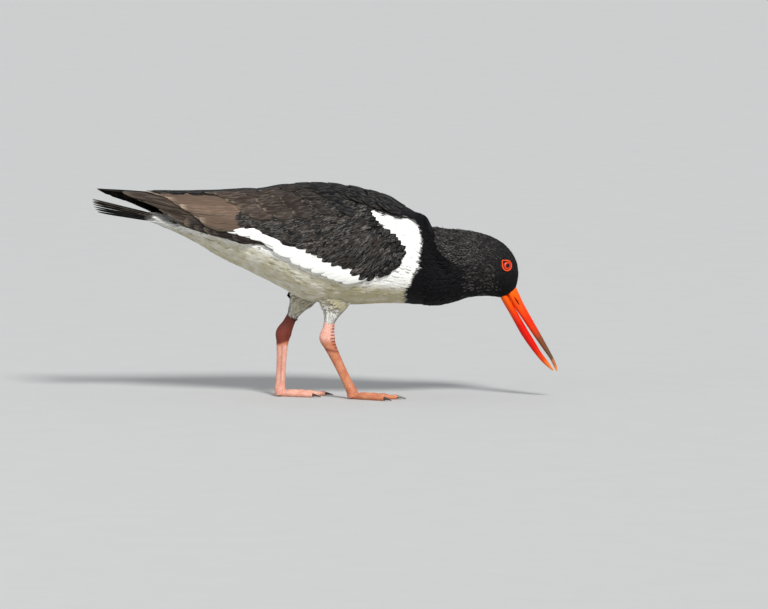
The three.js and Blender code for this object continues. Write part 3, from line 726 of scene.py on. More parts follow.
class Tree(Nodes):
    """A Geometry Nodes tree with named inputs, and short ways to add its nodes."""

    def __init__(self, name):
        self.tree = bpy.data.node_groups.new(name, "GeometryNodeTree")
        self.tree.interface.new_socket("Geometry", in_out="OUTPUT", socket_type="NodeSocketGeometry")
        self.identifiers = {}
        self.geometry = self.add_input("Geometry", "NodeSocketGeometry")

    def add_input(self, label, kind):
        item = self.tree.interface.new_socket(label, in_out="INPUT", socket_type=kind)
        self.identifiers[label] = item.identifier
        return self.tree.nodes.new("NodeGroupInput").outputs[label]

    def named(self, name, kind="FLOAT_VECTOR"):
        return self.node("GeometryNodeInputNamedAttribute", {"Name": name}, data_type=kind)

    def store(self, geometry, name, value, kind, domain):
        inputs = {"Geometry": geometry, "Name": name, "Value": value}
        return self.node("GeometryNodeStoreNamedAttribute", inputs, data_type=kind, domain=domain)

    def end(self, geometry):
        self.tree.links.new(geometry, self.tree.nodes.new("NodeGroupOutput").inputs["Geometry"])

    def apply(self, obj, **values):
        """Runs the tree on an object and leaves the result as its plain mesh."""
        modifier = obj.modifiers.new(self.tree.name, "NODES")
        modifier.node_group = self.tree
        for label, value in values.items():
            modifier[self.identifiers[label]] = value
        return plain_mesh(obj)


def root_tree():
    """Spreads the roots of feathers over a skin, no two closer than the spacing."""
    tree = Tree("feather_roots")
    spacing = tree.add_input("Spacing", "NodeSocketFloat")
    most = tree.add_input("Most", "NodeSocketFloat")
    seed = tree.add_input("Seed", "NodeSocketInt")
    inputs = {
        "Mesh": tree.geometry, "Distance Min": spacing, "Density Max": most,
        "Density Factor": tree.named("here", "FLOAT"), "Seed": seed,
    }
    spread = tree.node("GeometryNodeDistributePointsOnFaces", inputs, distribute_method="POISSON")
    kept = tree.store(spread, "out", spread.node.outputs["Normal"], "FLOAT_VECTOR", "POINT")
    tree.end(tree.node("GeometryNodePointsToVertices", {"Points": kept}))
    return tree


# The map that the OFBake attribute holds: the size of a feather's patch, and where the patches of the
# body and of the thighs lie, as (start, span) along them and (start, span) round them.
OFBAKE_PATCH = 0.003
MAP_OF_BODY = ((0.02, 0.62), (0.02, 0.95))
MAP_OF_THIGHS = ((0.68, 0.12), (0.1, 0.8))


def coat_tree():
    """Sets a feather on each root: its lie, size and tilt are read from the root."""
    tree = Tree("feather_coat")
    feather = tree.add_input("Feather", "NodeSocketObject")
    finish = tree.add_input("Finish", "NodeSocketMaterial")
    model = tree.node("GeometryNodeObjectInfo", {"Object": feather}, output="Geometry")
    axes = {"Primary Axis": tree.named("out"), "Secondary Axis": tree.named("lie")}
    laid = tree.node("FunctionNodeAxesToRotation", axes, primary_axis="Z", secondary_axis="X")
    swing = tree.node("FunctionNodeEulerToRotation", {"Euler": tree.named("swing")})
    turned = tree.node(
        "FunctionNodeRotateRotation", {"Rotation": laid, "Rotate By": swing}, rotation_space="LOCAL")
    size = tree.named("size")
    inputs = {"Points": tree.geometry, "Instance": model, "Rotation": turned, "Scale": size}
    set_out = tree.node("GeometryNodeInstanceOnPoints", inputs)
    real = tree.node("GeometryNodeRealizeInstances", {"Geometry": set_out})
    patch = tree.node(
        "ShaderNodeVectorMath", {0: tree.named("leaf"), 1: (OFBAKE_PATCH,) * 3}, operation="MULTIPLY")
    spot = tree.node("ShaderNodeVectorMath", {0: tree.named("root"), 1: patch}, operation="ADD")
    mapped = tree.store(real, "OFBake", spot, "FLOAT2", "CORNER")
    tree.end(tree.node("GeometryNodeSetMaterial", {"Geometry": mapped, "Material": finish}))
    return tree


ROOTS = root_tree()
COAT = coat_tree()
LEAF = feather_leaf()

# Length of the small feathers by section number, from the tail to the bill.
FEATHER_LENGTH = [(0, 8), (3, 10), (9, 9.5), (11, 7.8), (13, 6.6), (15, 5.2), (17, 3.5), (19, 2.4), (22, 1.6)]
TAIL_ROOTS_END = -149  # no small feather grows behind this
EYE = {"x": 147.2, "z": 109.8, "radius": 5.4, "stand_out": 1.7}
BARE_ROUND_EYE = 4.9
THIGH_FEATHERS = 0.62  # their length, as a share of the length on the body beside them
# The small feathers reach this far in under the wing: degrees at its low and top edges, and
# millimetres at its front.
UNDER_WING = {"low": 4, "top": 5, "front": 2}
# How far the skin may face along a feather's lie, as a cosine: where the lie starts to turn down,
# the span over which it turns, and where no feather grows.
LIE_TURNS_FROM = 0.6
LIE_TURN_SPAN = 0.2
STEEPEST_LIE = 0.9


def under_wing(x, degrees):
    """True where the folded wing hides the body."""
    degrees = degrees - VIEW_TURN
    low = along(COVERT_EDGE, x) + UNDER_WING["low"]
    high = along(WING_TOP_EDGE, x) - UNDER_WING["top"]
    return (x < WING_FRONT - UNDER_WING["front"]) & (degrees > low) & (degrees < high)


def degrees_up(index):
    """How far up from its side the body points with these numbers lie, alike on both sides."""
    angle = body.angle[index]
    return np.arctan2(np.sin(angle), np.abs(np.cos(angle))) / DEGREE


def coat_piece(name, region, finish, spacing, width, tilt, unrule):
    """Feathers over the skin wherever region(section, degrees, x, thigh) is true.

    Spacing is in millimetres, width a share of the length, tilt and unrule in degrees.
    """
    skin_points = points_of(skin.data)
    index = body.nearest(skin_points)
    section = body.u[index] * BODY_SPANS
    thigh, _, _ = thigh_share(skin_points)
    here = region(section, degrees_up(index), skin_points[:, 0], thigh)
    paint(skin.data, "here", here.astype(float))
    copy = placed(name, skin.data.copy())
    ROOTS.apply(
        copy, Spacing=spacing * MILLIMETRE, Most=3 / (spacing * MILLIMETRE) ** 2, Seed=SEED)
    mesh = copy.data
    points = points_of(mesh)
    index = body.nearest(points)
    section = body.u[index] * BODY_SPANS
    thigh, down, place = thigh_share(points)
    lie = unit(mix(body.lie[index], down, thigh[:, None]))
    lie, faces_lie = laid_on_skin(lie, vectors_of(mesh, "out"))
    usual_length = along(FEATHER_LENGTH, section) * mix(1, THIGH_FEATHERS, thigh)
    length = usual_length * draws.uniform(0.85, 1.15, len(points))
    seen = points + lie * (0.75 * length)[:, None]
    round_eye = np.hypot(points[:, 0] - EYE["x"], points[:, 2] - EYE["z"])
    hidden = under_wing(seen[:, 0], degrees_up(index))
    kept = (round_eye > BARE_ROUND_EYE) & ~hidden & (points[:, 0] > TAIL_ROOTS_END)
    kept &= faces_lie < STEEPEST_LIE
    paint_roots(mesh, points, index, thigh, place, lie, length, width, tilt, unrule, seen)
    remove_points(mesh, np.nonzero(~kept)[0])
    COAT.apply(copy, Feather=LEAF, Finish=finish)
    paint_white(copy.data)
    copy.data.shade_smooth()
    return copy


def laid_on_skin(lie, out):
    """The lie, turned down where the skin faces along it, and how far the skin still does."""
    faces = np.abs(np.sum(lie * out, axis=1, keepdims=True))
    turned = ease((faces - LIE_TURNS_FROM) / LIE_TURN_SPAN)
    lie = unit(mix(lie, np.array([0, 0, -1.0]), turned))
    return lie, np.abs(np.sum(lie * out, axis=1))


LEAF_POINTS = len(LEAF.data.vertices)


def paint_white(mesh):
    """White inside the outline, its edge frayed by a small shift for each feather."""
    points = points_of(mesh)
    fray = np.repeat(draws.normal(0, 0.7, len(points) // LEAF_POINTS), LEAF_POINTS)
    paint(mesh, "white", ease((depth_in_white(points) + fray) / 0.8 + 0.5))


# Height below which the white coat is painted khaki, part stain and part the painted shade under the body, by
# forward place.
STAIN_AND_SHADE_TOP = [(-150, 147), (-115, 143), (-95, 138), (-60, 130), (-5, 108), (20, 101), (60, 96)]
# The far, left thigh is painted khaki more than the right one, as shade.
THIGH_STAIN_AND_SHADE = {"right": 0.3, "left": 0.75}


def spot_on_map(area, along_it, round_it):
    """Where a root lies on the baked map."""
    (start, span), (round_start, round_span) = area
    across = round_start + round_span * round_it
    return np.stack([start + span * along_it, across, np.zeros(len(along_it))], 1)


def paint_roots(mesh, points, index, thigh, place, lie, length, width, tilt, unrule, seen):
    """Keeps at each root what its feather is coloured and laid by."""
    count = len(points)
    u, turn = body.u[index], body.angle[index] / (2 * np.pi) + 0.5
    on_body = spot_on_map(MAP_OF_BODY, u, turn)
    on_thigh = spot_on_map(MAP_OF_THIGHS, place, turn % 0.5)
    white = depth_in_white(seen) + draws.normal(0, 0.5, count) > 0
    paint(mesh, "root", np.where(thigh[:, None] > 0.5, on_thigh, on_body))
    paint(mesh, "brown", np.zeros(count))
    ruffled = hindneck(points)
    cheek = ease((points[:, 0] - 110) / 6) * ease((144 - points[:, 0]) / 6)
    # Painted glints: pale rims on some black feathers of the cheek and hindneck.
    glints = (draws.uniform(0, 1, count) < 0.26 * cheek + 0.5 * ruffled) * draws.uniform(0.5, 1.2, count)
    paint(mesh, "fringe", glints * (~white))
    # Painted sheen: black feathers greyed where they catch the light, the glinting ones most.
    worn = painted_sheen_share(points, ruffled) * draws.uniform(0.3, 1, count)
    paint(mesh, "worn", np.maximum(worn, 0.85 * np.minimum(glints, 1)))
    thigh_stain_and_shade = np.where(points[:, 1] < 0, THIGH_STAIN_AND_SHADE["right"], THIGH_STAIN_AND_SHADE["left"])
    # More painted stain and shade higher on the thigh, under the belly.
    thigh_stain_and_shade = thigh_stain_and_shade * ease((points[:, 2] - 60) / 16)
    paint(mesh, "stain", mix(underside(points), thigh_stain_and_shade, thigh))
    paint(mesh, "tone", draws.uniform(-1, 1, count) * np.where(white, 0.25, 1.0))
    paint(mesh, "lie", lie)
    size = np.stack([length, length * width * draws.uniform(0.85, 1.15, count), length], 1)
    paint(mesh, "size", size * MILLIMETRE)
    loose = draws.normal(0, unrule, (count, 3)) * DEGREE
    loose[:, 1] = -(tilt * DEGREE) * (1 + 0.9 * ruffled) - np.abs(loose[:, 1]) * (0.5 + ruffled)
    paint(mesh, "swing", loose)


def hindneck(points):
    """Where the feathers of the hindneck stand up and catch the light, painted grey as sheen, 0 to 1."""
    x, z = points[:, 0], points[:, 2]
    return ease((x - along(CREASE, z)) / 3) * ease((134 - x) / 16) * ease((z - 107) / 10)


def painted_sheen_share(points, ruffled):
    """How much the black feathers are greyed by painted sheen, 0 to 1: most on the hindneck, least on the
    breast.
    """
    x, z = points[:, 0], points[:, 2]
    head = 0.35 * ease((x - 112) / 8) * ease((z - 84) / 30)
    back = 0.28 * ease((84 - x) / 8) * ease((z - 146) / 10)
    return np.clip(ruffled + head + back, 0, 1)


def underside(points):
    """Where white feathers are painted khaki, as stain and as shade, 0 to 1: low on the belly and under the
    tail.
    """
    low = ease((along(STAIN_AND_SHADE_TOP, points[:, 0]) - points[:, 2]) / 8)
    # Stronger towards the front of the belly.
    deeper = mix(0.9, 1.15, ease((points[:, 0] + 10) / 40))
    return deeper * low * ease((74 - points[:, 0]) / 8)


def remove_points(mesh, drop):
    work = bmesh.new()
    work.from_mesh(mesh)
    work.verts.ensure_lookup_table()
    bmesh.ops.delete(work, geom=[work.verts[k] for k in drop], context="VERTS")
    work.to_mesh(mesh)
    work.free()


def between(low, high):
    """A region of the skin by section number, thighs left out."""
    def region(section, degrees, x, thigh):
        return (section > low) & (section <= high) & (thigh < 0.3) & ~under_wing(x, degrees)
    return region


def only_thighs(section, degrees, x, thigh):
    return thigh >= 0.3


coat = [
    coat_piece("coat_face", between(15.5, 22), SMALL_FINISH, spacing=0.64, width=0.46, tilt=8, unrule=4),
    coat_piece("coat_neck", between(12.5, 15.5), SMALL_FINISH, spacing=0.95, width=0.46, tilt=7, unrule=5),
    coat_piece("coat_breast", between(9.5, 12.5), SMALL_FINISH, spacing=1.0, width=0.5, tilt=3.5, unrule=2.5),
    coat_piece("coat_belly", between(-1, 9.5), SMALL_FINISH, spacing=1.5, width=0.52, tilt=4, unrule=2.2),
    coat_piece("coat_thighs", only_thighs, THIGH_FINISH, spacing=0.95, width=0.56, tilt=3, unrule=2.5),
]

# Long feathers: closed vanes with a raised shaft, laid on the surface that a function gives.
VANE_THICKNESS = 0.28
SHAFT_RISE = 0.22


def vane_outline(t, bluntness):
    """Half width along a vane, 1 at its widest, round at the tip."""
    opening = np.minimum(1, 0.42 + 1.7 * t)
    past = np.maximum(0, t - bluntness) / (1 - bluntness)
    return opening * np.sqrt(np.maximum(0.0, 1 - past**2.2))


def vane(lay, width, bluntness, marks, fine=True):
    """lay(run, aside, lift) takes a place along the shaft, and millimetres aside and up, to a point."""
    rows = 15 if fine else 9
    columns = np.array([-1, -0.7, -0.36, -0.07, 0.07, 0.36, 0.7, 1] if fine else [-1, -0.55, 0, 0.55, 1])
    run = 1 - (1 - np.linspace(0, 1, rows)) ** 1.5
    run[-1] = 0.998
    frayed = 1 + draws.normal(0, 0.018, (rows, 2))
    half = width / 2 * vane_outline(run, bluntness)
    top_shape = 1 - columns**2
    shaft = bell(columns, 0.12) * SHAFT_RISE
    v = np.concatenate([columns, columns[-2:0:-1]])
    height = np.concatenate([
        VANE_THICKNESS * top_shape + shaft, -VANE_THICKNESS * 0.6 * top_shape[-2:0:-1]])
    side = np.where(v < 0, frayed[:, :1], frayed[:, 1:])
    aside = v[None] * half[:, None] * side
    taper = mix(1.0, 0.35, run)[:, None]
    where = np.broadcast_to(run[:, None], aside.shape)
    points, triangles = loft(lay(where, aside, height[None] * taper))
    leaf = np.stack([where, np.broadcast_to(v[None], aside.shape), np.zeros_like(aside)], -1).reshape(-1, 3)
    leaf = np.concatenate([leaf, [[0, 0, 0], [1, 0, 0]]])
    values = {"leaf": leaf}
    tone = draws.uniform(-1, 1) * marks.get("vary", 1)
    for key in ("white", "brown", "worn", "stain"):
        values[key] = np.full(len(points), float(marks.get(key, 0)))
    values["fringe"] = np.full(len(points), marks.get("fringe", 0) * draws.uniform(0.4, 1.5))
    values["tone"] = np.full(len(points), tone)
    return points, triangles, values


def on_wing(root, tip, roll=0.05, camber=0.4, width=15, turn=VIEW_TURN):
    """The lay of a vane on the wing's surface, between (x, degrees, lift) of its root and tip."""
    root, tip = np.asarray(root, float) + (0, turn, 0), np.asarray(tip, float) + (0, turn, 0)

    def lay(run, aside, lift):
        x, degrees = mix(root[0], tip[0], run), mix(root[1], tip[1], run)
        per_degree = round_per_degree(x, degrees)
        rise = (tip[1] - root[1]) * per_degree
        reach = np.hypot(tip[0] - root[0], rise)
        over = degrees - (tip[0] - root[0]) / reach * aside / per_degree
        base = mix(root[2], tip[2], ease(1.4 * run))
        dome = camber * (1 - (2 * aside / width) ** 2)
        return wing_point(x + rise / reach * aside, over * DEGREE, base + dome + lift - roll * aside)

    return lay


def round_per_degree(x, degrees):
    """Millimetres round the wing's surface for one degree."""
    high = wing_point(x, (degrees + 8) * DEGREE, 0.0)
    low = wing_point(x, (degrees - 8) * DEGREE, 0.0)
    return np.maximum(np.linalg.norm(high - low, axis=-1) / 16, 0.1)


def tier(count, roots, tips, widths, bluntness=0.6, roll=0.05, fine=True, loose=0.6, **marks):
    """A tier of vanes whose roots, tips and widths run evenly from its first feather to its last."""
    made = []
    for t in np.linspace(0, 1, count):
        root, tip = (mix(np.array(a, float), np.array(b, float), t) for a, b in (roots, tips))
        tip = tip + draws.normal(0, 1, 3) * (loose * 1.2, loose * 0.7, 0.12)
        width = mix(*widths, t) * draws.uniform(0.95, 1.05)
        lay = on_wing(root, tip, roll, width=width)
        made.append(vane(lay, width, bluntness, marks, fine))
    return made


# The dark coverts: degrees of the row over the white bar and of the highest row, by forward
# place, and how far forward the wing reaches, by degrees.
BAR_TOP = [
    (-79, 0), (-62, -1), (-54, -6), (-40, -3), (-30, -5), (-17, -7), (-3, -14), (8, -18), (20, -23),
    (28, -30), (48, -24),
]
HIGHEST_ROW = [(-79, 38), (-20, 42), (20, 38), (40, 30), (56, 14)]
WING_FRONT_EDGE = [
    (-33, 29), (-25, 48), (-16, 59.5), (-4, 63.5), (5, 65.5), (14, 63), (22, 55), (30, 43), (41, 36),
]
COVERT_ROWS = 16
FLANK_PER_DEGREE = 0.8  # millimetres round the flank


def covert_root(tip, length, sway):
    """Where a covert's root lies: the front ones hang most steeply."""
    slope = (along([(-60, 14), (0, 30), (50, 50)], tip[0]) + sway) * DEGREE
    return (tip[0] + length * math.cos(slope), tip[1] + length * math.sin(slope) / FLANK_PER_DEGREE, -1.5)


def front_edge(degrees, length):
    """How far forward a covert may reach: at its tip's height and at its root's."""
    higher = degrees + 0.75 * length / FLANK_PER_DEGREE
    return min(along(WING_FRONT_EDGE, degrees), along(WING_FRONT_EDGE, higher))


def covert(tip, length, width, **marks):
    root = covert_root(tip, length, draws.normal(0, 7))
    return vane(on_wing(root, tip, 0.05, camber=0.25, width=width), width, 0.3, marks, fine=False)


def covert_rows():
    made = []
    for row in range(COVERT_ROWS):
        share = row / (COVERT_ROWS - 1)
        length, width = mix(24, 17, share), mix(7, 7.5, share)
        x = along([(0, -80), (1, -66)], share) + width * 0.3 * (row % 2)
        while True:
            degrees = mix(along(BAR_TOP, x), along(HIGHEST_ROW, x), share)
            if x > front_edge(degrees, length) - 0.7 * length:
                break
            tip = (x + draws.normal(0, 1.2), degrees + draws.normal(0, 1.3), 0.95 + 0.35 * share)
            brown = 0.14 * draws.uniform(0, 1) ** 2
            fringe = 0.7 * draws.uniform(0, 1) ** 2 * ease((32 - x) / 40)
            # Painted sheen and wear on each covert, at random.
            worn = draws.uniform(0.2, 1)
            own_length = length * draws.uniform(0.85, 1.15)
            made.append(covert(tip, own_length, width, brown=brown, fringe=fringe, worn=worn))
            x += width * draws.uniform(0.5, 0.75)
    return made


LEADING_ROWS = 6


def leading_coverts():
    """Short feathers over the bend of the wing, along its front edge."""
    made = []
    for row in range(LEADING_ROWS):
        share = row / (LEADING_ROWS - 1)
        for degrees in np.arange(-29 + 2 * (row % 2), 44, 4):
            length = mix(9, 14, share)
            front = front_edge(degrees - 4, length)
            tip = (front - 6 - 3.6 * row, degrees - 4 + draws.normal(0, 1.2), 0.75 + 0.2 * share)
            made.append(covert(tip, length, mix(4.5, 5.5, share), worn=draws.uniform(0.1, 0.9)))
    return made


SCAPULAR_TIERS = 5


def scapulars():
    """Tiers from the rear to the front, each over the roots of the one behind it."""
    made = []
    for share in np.linspace(0, 1, SCAPULAR_TIERS):
        low_tip = (-66 + 76 * share, mix(20, 36, share), 1.2 + 0.3 * share)
        high_tip = (-96 + 78 * share, 70, 1.4 + 0.3 * share)
        length = mix(40, 26, share)
        roots = [(low_tip[0] + length, 34, -0.8), (high_tip[0] + length, 73, -0.4)]
        made += tier(
            10, roots, [low_tip, high_tip], [mix(14, 11, share)] * 2, bluntness=0.5, roll=0.06,
            fine=share < 0.6, loose=1.6, brown=mix(0.3, 0, share),
            fringe=mix(0.6, 0.15, share), worn=mix(0.45, 0.25, share))
    return made


def wing_feathers(reach):
    # The far wing's primaries stay black as painted shade; the near wing's are painted browner, greyer and
    # paler-edged, as lit.
    near = 0.0 if reach else 1.0
    return {
        "primaries": tier(
            9, [(-46, 2, -3.2), (-56, 34, -2.4)],
            [(-122 - 2.2 * reach, -2 - 0.8 * reach, -1.6), (-168 - reach, 42 + 0.6 * reach, 0.2)],
            [13, 14 + 0.25 * reach], bluntness=0.78, roll=0.07,
            brown=0.3 * near, worn=0.45 * near, fringe=0.5 * near + 0.1)
        + tier(
            6, [(-24, 0, -3), (-44, 6, -2.4)], [(-78, -11, 0.1), (-116, -3, -0.6)], [14, 13],
            bluntness=0.8, roll=0.06, brown=0.1, worn=0.25, fringe=0.35),
        "greater_coverts": tier(
            17, [(40, -20, -1.4), (-42, 6, -1)], [(12, -33, 1.2), (-80, -5, 1.1)], [10.5, 8.5],
            bluntness=0.45, roll=0.05, loose=1.2, white=1, vary=0.4),
        "tertials": tier(
            9, [(-30, 10, -1.0), (-48, 66, -0.6)], [(-104, 9, 0.8), (-148, 68, 0.9)], [16, 13],
            bluntness=0.7, roll=0.08, brown=0.85, worn=0.6, fringe=1.2, vary=1.3),
        "coverts": covert_rows() + leading_coverts(),
        "scapulars": scapulars(),
    }


LEFT_TIP_REACH = 20
WING_PARTS = ("primaries", "greater_coverts", "tertials", "coverts", "scapulars")


def wing_pieces(side):
    forms = wing_feathers(LEFT_TIP_REACH if side == "left" else 0)
    made = []
    for part in WING_PARTS:
        finish = COVERT_FINISH if part in ("coverts", "scapulars") else VANE_FINISH
        obj = piece_of(f"{part}_{side}", on_side(side, joined(forms[part])), finish)
        made.append(obj)
    return made


CAPE_WIDTH = 15  # of each feather


def cape():
    """Black feathers down the middle of the back, between the wings."""
    made = []
    for place in np.arange(64, -112, -13):
        half = along([(-60, 15), (0, 28)], place)
        for degrees in np.linspace(90 - half, 90 + half, 6):
            x = place + draws.uniform(-4, 4)
            reach = mix(20, 36, ease((60 - place) / 120))
            spread = (degrees - 90) * 0.08
            root = (x, degrees + spread, -1.0)
            tip = (x - reach, degrees + draws.normal(0, 1.5), 1.3)
            lay = on_wing(root, tip, 0.0, width=CAPE_WIDTH, turn=0)
            made.append(vane(lay, CAPE_WIDTH, 0.5, {"worn": 0.3, "fringe": 0.15}, fine=False))
    return piece_of("back_cape", joined(made), COVERT_FINISH)


wings = {side: wing_pieces(side) for side in ("right", "left")}
back_cape = cape()

# Tail: twelve feathers, white at the base and black at the end, the middle pair on top.
TAIL_ROOT = np.array((-122.3, 0, 143.0))
TAIL_RISE = 12.5 * DEGREE
TAIL_LENGTH = 70
TAIL_FAN = 7 * DEGREE
TAIL_PAIRS = 6
TAIL_STEP = 0.6
TAIL_SPREAD = 0.9 * DEGREE  # each pair rises this much less than the pair above it
TAIL_WIDTH = 15
TAIL_BLACK_FROM = -145


def on_tail(pair, side):
    share = pair / (TAIL_PAIRS - 1)
    heading = (0.15 + 0.85 * share) * TAIL_FAN
    length = TAIL_LENGTH - 5 * share**2
    start = TAIL_ROOT + (-2, side * (2.2 + 5.2 * share), 3.2 - TAIL_STEP * pair)
    rise = TAIL_RISE + (1.5 - pair) * TAIL_SPREAD
    ahead = unit(np.array([-1, side * math.tan(heading), math.tan(rise)]))
    up = np.array([math.sin(rise), side * 0.03 * share, math.cos(rise)])
    across = unit(np.cross(ahead, up))

    def lay(run, aside, lift):
        run, aside, lift = np.broadcast_arrays(run, aside, lift)
        dome = 0.35 * (1 - (2 * aside / TAIL_WIDTH) ** 2)
        return (start + ahead * (length * run)[..., None] + across * aside[..., None]
                + up * (lift + dome)[..., None])

    return lay


def tail_feathers():
    made = []
    for pair in range(TAIL_PAIRS):
        marks = {"worn": 0.2, "fringe": 0.7 if pair < 2 else 0.12, "vary": 0.5}
        for side in (-1, 1):
            form = vane(on_tail(pair, side), TAIL_WIDTH, 0.8, marks)
            form[2]["white"] = ease((form[0][:, 0] - TAIL_BLACK_FROM) / 3)
            made.append(form)
    return piece_of("tail_feathers", joined(made), VANE_FINISH)


tail = tail_feathers()

# Bill, in its own frame: s runs from the root to the tip and h is towards the culmen.
BILL_ROOT = np.array((147.5, 0, 88.0))
BILL_PITCH = 57.6 * DEGREE
BILL_AHEAD = np.array((math.cos(BILL_PITCH), 0, -math.sin(BILL_PITCH)))
BILL_UP = np.array((math.sin(BILL_PITCH), 0, math.cos(BILL_PITCH)))
UPPER_BILL = [  # s, culmen, cutting edge, half width
    (-6, 7.6, -1.2, 5.6), (0, 8.0, -1.35, 5.7), (8, 7.0, -1.65, 5.3), (16, 5.9, -1.95, 4.7),
    (30, 5.0, -1.6, 4.0), (44, 4.3, -1.2, 3.4), (55, 3.6, -0.7, 2.8), (66, 2.8, -0.2, 2.1),
    (74, 1.5, -0.9, 1.5), (77.6, 0.2, -1.1, 0.8),
]
LOWER_BILL = [
    (-5, -1.25, -6.6, 5.2), (1, -1.4, -7.4, 5.4), (8, -1.7, -7.9, 4.9), (16, -2.02, -8.1, 4.3),
    (26, -2.5, -8.7, 3.9), (37, -2.9, -9.3, 3.5), (48, -3.1, -8.9, 2.9), (58, -3.4, -8.0, 2.3),
    (67, -2.7, -6.5, 1.8), (75.5, -2.5, -3.7, 0.8),
]
NOSTRIL = {"s": 11.5, "h": 2.4, "length": 8, "height": 1.05}


def bill_finish(name, *stops):
    finish = Finish(name, Roughness=0.34, Specular_IOR_Level=0.14)
    grain = finish.noise(0.8, 5)
    cloud = finish.noise(5.0, 2)
    run = finish.math("ADD", finish.value("run"), finish.span(cloud, 0.2, 0.8, -0.03, 0.03))
    base = finish.stops(run, *stops)
    worn = finish.blend(finish.span(grain, 0.6, 0.85, 0, 0.15), base, (0.95, 0.25, 0.02))
    # The nostril's slit painted near black, as the shade inside it.
    finish.colour(finish.blend(finish.value("pit"), worn, (0.05, 0.008, 0.004)))
    finish.bump(finish.math("ADD", grain, finish.math("MULTIPLY", cloud, 0.5)), 0.12)
    return finish.material


UPPER_BILL_FINISH = bill_finish(
    "upper_bill_horn", (0.0, (0.88, 0.125, 0.002)), (0.12, (0.86, 0.085, 0.002)),
    (0.38, (0.74, 0.024, 0.002)), (0.53, (0.55, 0.035, 0.004)), (0.63, (0.18, 0.055, 0.020)),
    (0.86, (0.115, 0.068, 0.036)), (0.93, (0.60, 0.17, 0.04)), (1.0, (0.75, 0.28, 0.08)))
LOWER_BILL_FINISH = bill_finish(
    "lower_bill_horn", (0.0, (0.88, 0.13, 0.003)), (0.22, (0.82, 0.045, 0.002)),
    (0.40, (0.66, 0.008, 0.002)), (0.70, (0.66, 0.008, 0.002)), (0.84, (0.72, 0.055, 0.004)),
    (1.0, (0.80, 0.27, 0.05)))


def with_ends(values):
    """Values at the points of a loft's rings, and at the two points that close its ends."""
    return np.append(values.ravel(), [values[0, 0], values[-1, 0]])


def bill_half(name, stations, ridge_up, finish):
    rows, sides = 170, 56
    line = curve_through(stations)
    place = np.linspace(0, 1, rows)
    s, high, low, half = (line(place)[:, k, None] for k in range(4))
    turn = full_turn(sides)[None]
    across, up = np.cos(turn), np.sin(turn)
    ridge = up if ridge_up else -up
    narrowing = 1 - 0.22 * ridge - 0.10 * np.maximum(0, ridge) ** 2
    side = -across * half * narrowing
    h = (high + low) / 2 + up * (high - low) / 2
    s = np.broadcast_to(s, side.shape)
    pit = np.zeros(side.shape)
    if ridge_up:
        off_along = (s - NOSTRIL["s"]) / (NOSTRIL["length"] / 2)
        off_up = (h - NOSTRIL["h"]) / (NOSTRIL["height"] / 2)
        pit = ease(1.5 - np.hypot(off_along, off_up))
        groove = bell(h - NOSTRIL["h"] + 0.02 * s, 0.9) * ease((34 - s) / 20) * ease((s - 2) / 6)
        side = side * (1 - (0.26 * pit + 0.07 * groove) * (np.abs(across) > 0.3))
    rings = BILL_ROOT + BILL_AHEAD * s[..., None] + BILL_UP * h[..., None]
    rings[..., 1] = side
    points, triangles = loft(rings)
    values = {"run": with_ends(np.clip(s / stations[-1][0], 0, 1)), "pit": with_ends(pit)}
    return piece_of(name, (points, triangles, values), finish)


upper_bill = bill_half("upper_bill", UPPER_BILL, True, UPPER_BILL_FINISH)
lower_bill = bill_half("lower_bill", LOWER_BILL, False, LOWER_BILL_FINISH)

# Eyes, with the ring of bare skin round each drawn out to a corner behind.
EYE_RING = {
    "radius": 4.1, "half": 0.58, "thick": 0.62, "rise": 3.75,
    "corner_turn": 138 * DEGREE, "corner_reach": 1.6,
}


def eye_seat():
    """Centre of the right eye, and the way out of it, forward and up."""
    u, angle = np.meshgrid(np.linspace(0.6, 1, 300), np.linspace(-1.3, 1.3, 200), indexing="ij")
    points = body_point(u, angle)
    miss = np.hypot(points[..., 0] - EYE["x"], points[..., 2] - EYE["z"])
    row, column = np.unravel_index(np.argmin(miss), miss.shape)
    at = points[row, column]
    lengthwise = points[row + 4, column] - points[row - 4, column]
    round_it = points[row, column + 6] - points[row, column - 6]
    out = unit(np.cross(lengthwise, round_it))
    out = out if out[1] < 0 else -out
    up = unit(np.cross(out, (1, 0, 0)))
    forward = unit(np.cross(up, out))
    return at + out * (EYE["stand_out"] - EYE["radius"]), out, forward, up


EYE_CENTRE, EYE_OUT, EYE_FORWARD, EYE_UP = eye_seat()


def eye_finish():
    finish = Finish(
        "iris_and_pupil", Roughness=0.3, Specular_IOR_Level=0.2, Coat_Weight=0.3, Coat_Roughness=0.03)
    radius = finish.value("off_axis")
    fibres = finish.noise(0.35, 3)
    inner = finish.blend(fibres, (0.16, 0.004, 0.002), (0.30, 0.010, 0.004))
    outer = finish.blend(fibres, (0.60, 0.020, 0.005), (0.88, 0.06, 0.010))
    iris = finish.blend(finish.span(radius, 0.36, 0.42), inner, outer)
    iris = finish.blend(finish.span(radius, 0.56, 0.62), iris, (0.03, 0.002, 0.002))
    finish.colour(finish.blend(finish.span(radius, 0.27, 0.31), (0.002, 0.002, 0.002), iris))
    return finish.material


def ring_finish():
    finish = Finish("eye_ring_skin", Roughness=0.45, Specular_IOR_Level=0.2)
    grain = finish.noise(0.5, 4)
    finish.colour(finish.blend(grain, (0.72, 0.035, 0.005), (0.92, 0.11, 0.012)))
    finish.bump(grain, 0.15)
    return finish.material


def eye_point(out, forward, up):
    """A point of the right eye, so far from its centre each way."""
    return (EYE_CENTRE + EYE_OUT * out[..., None] + EYE_FORWARD * forward[..., None]
            + EYE_UP * up[..., None])


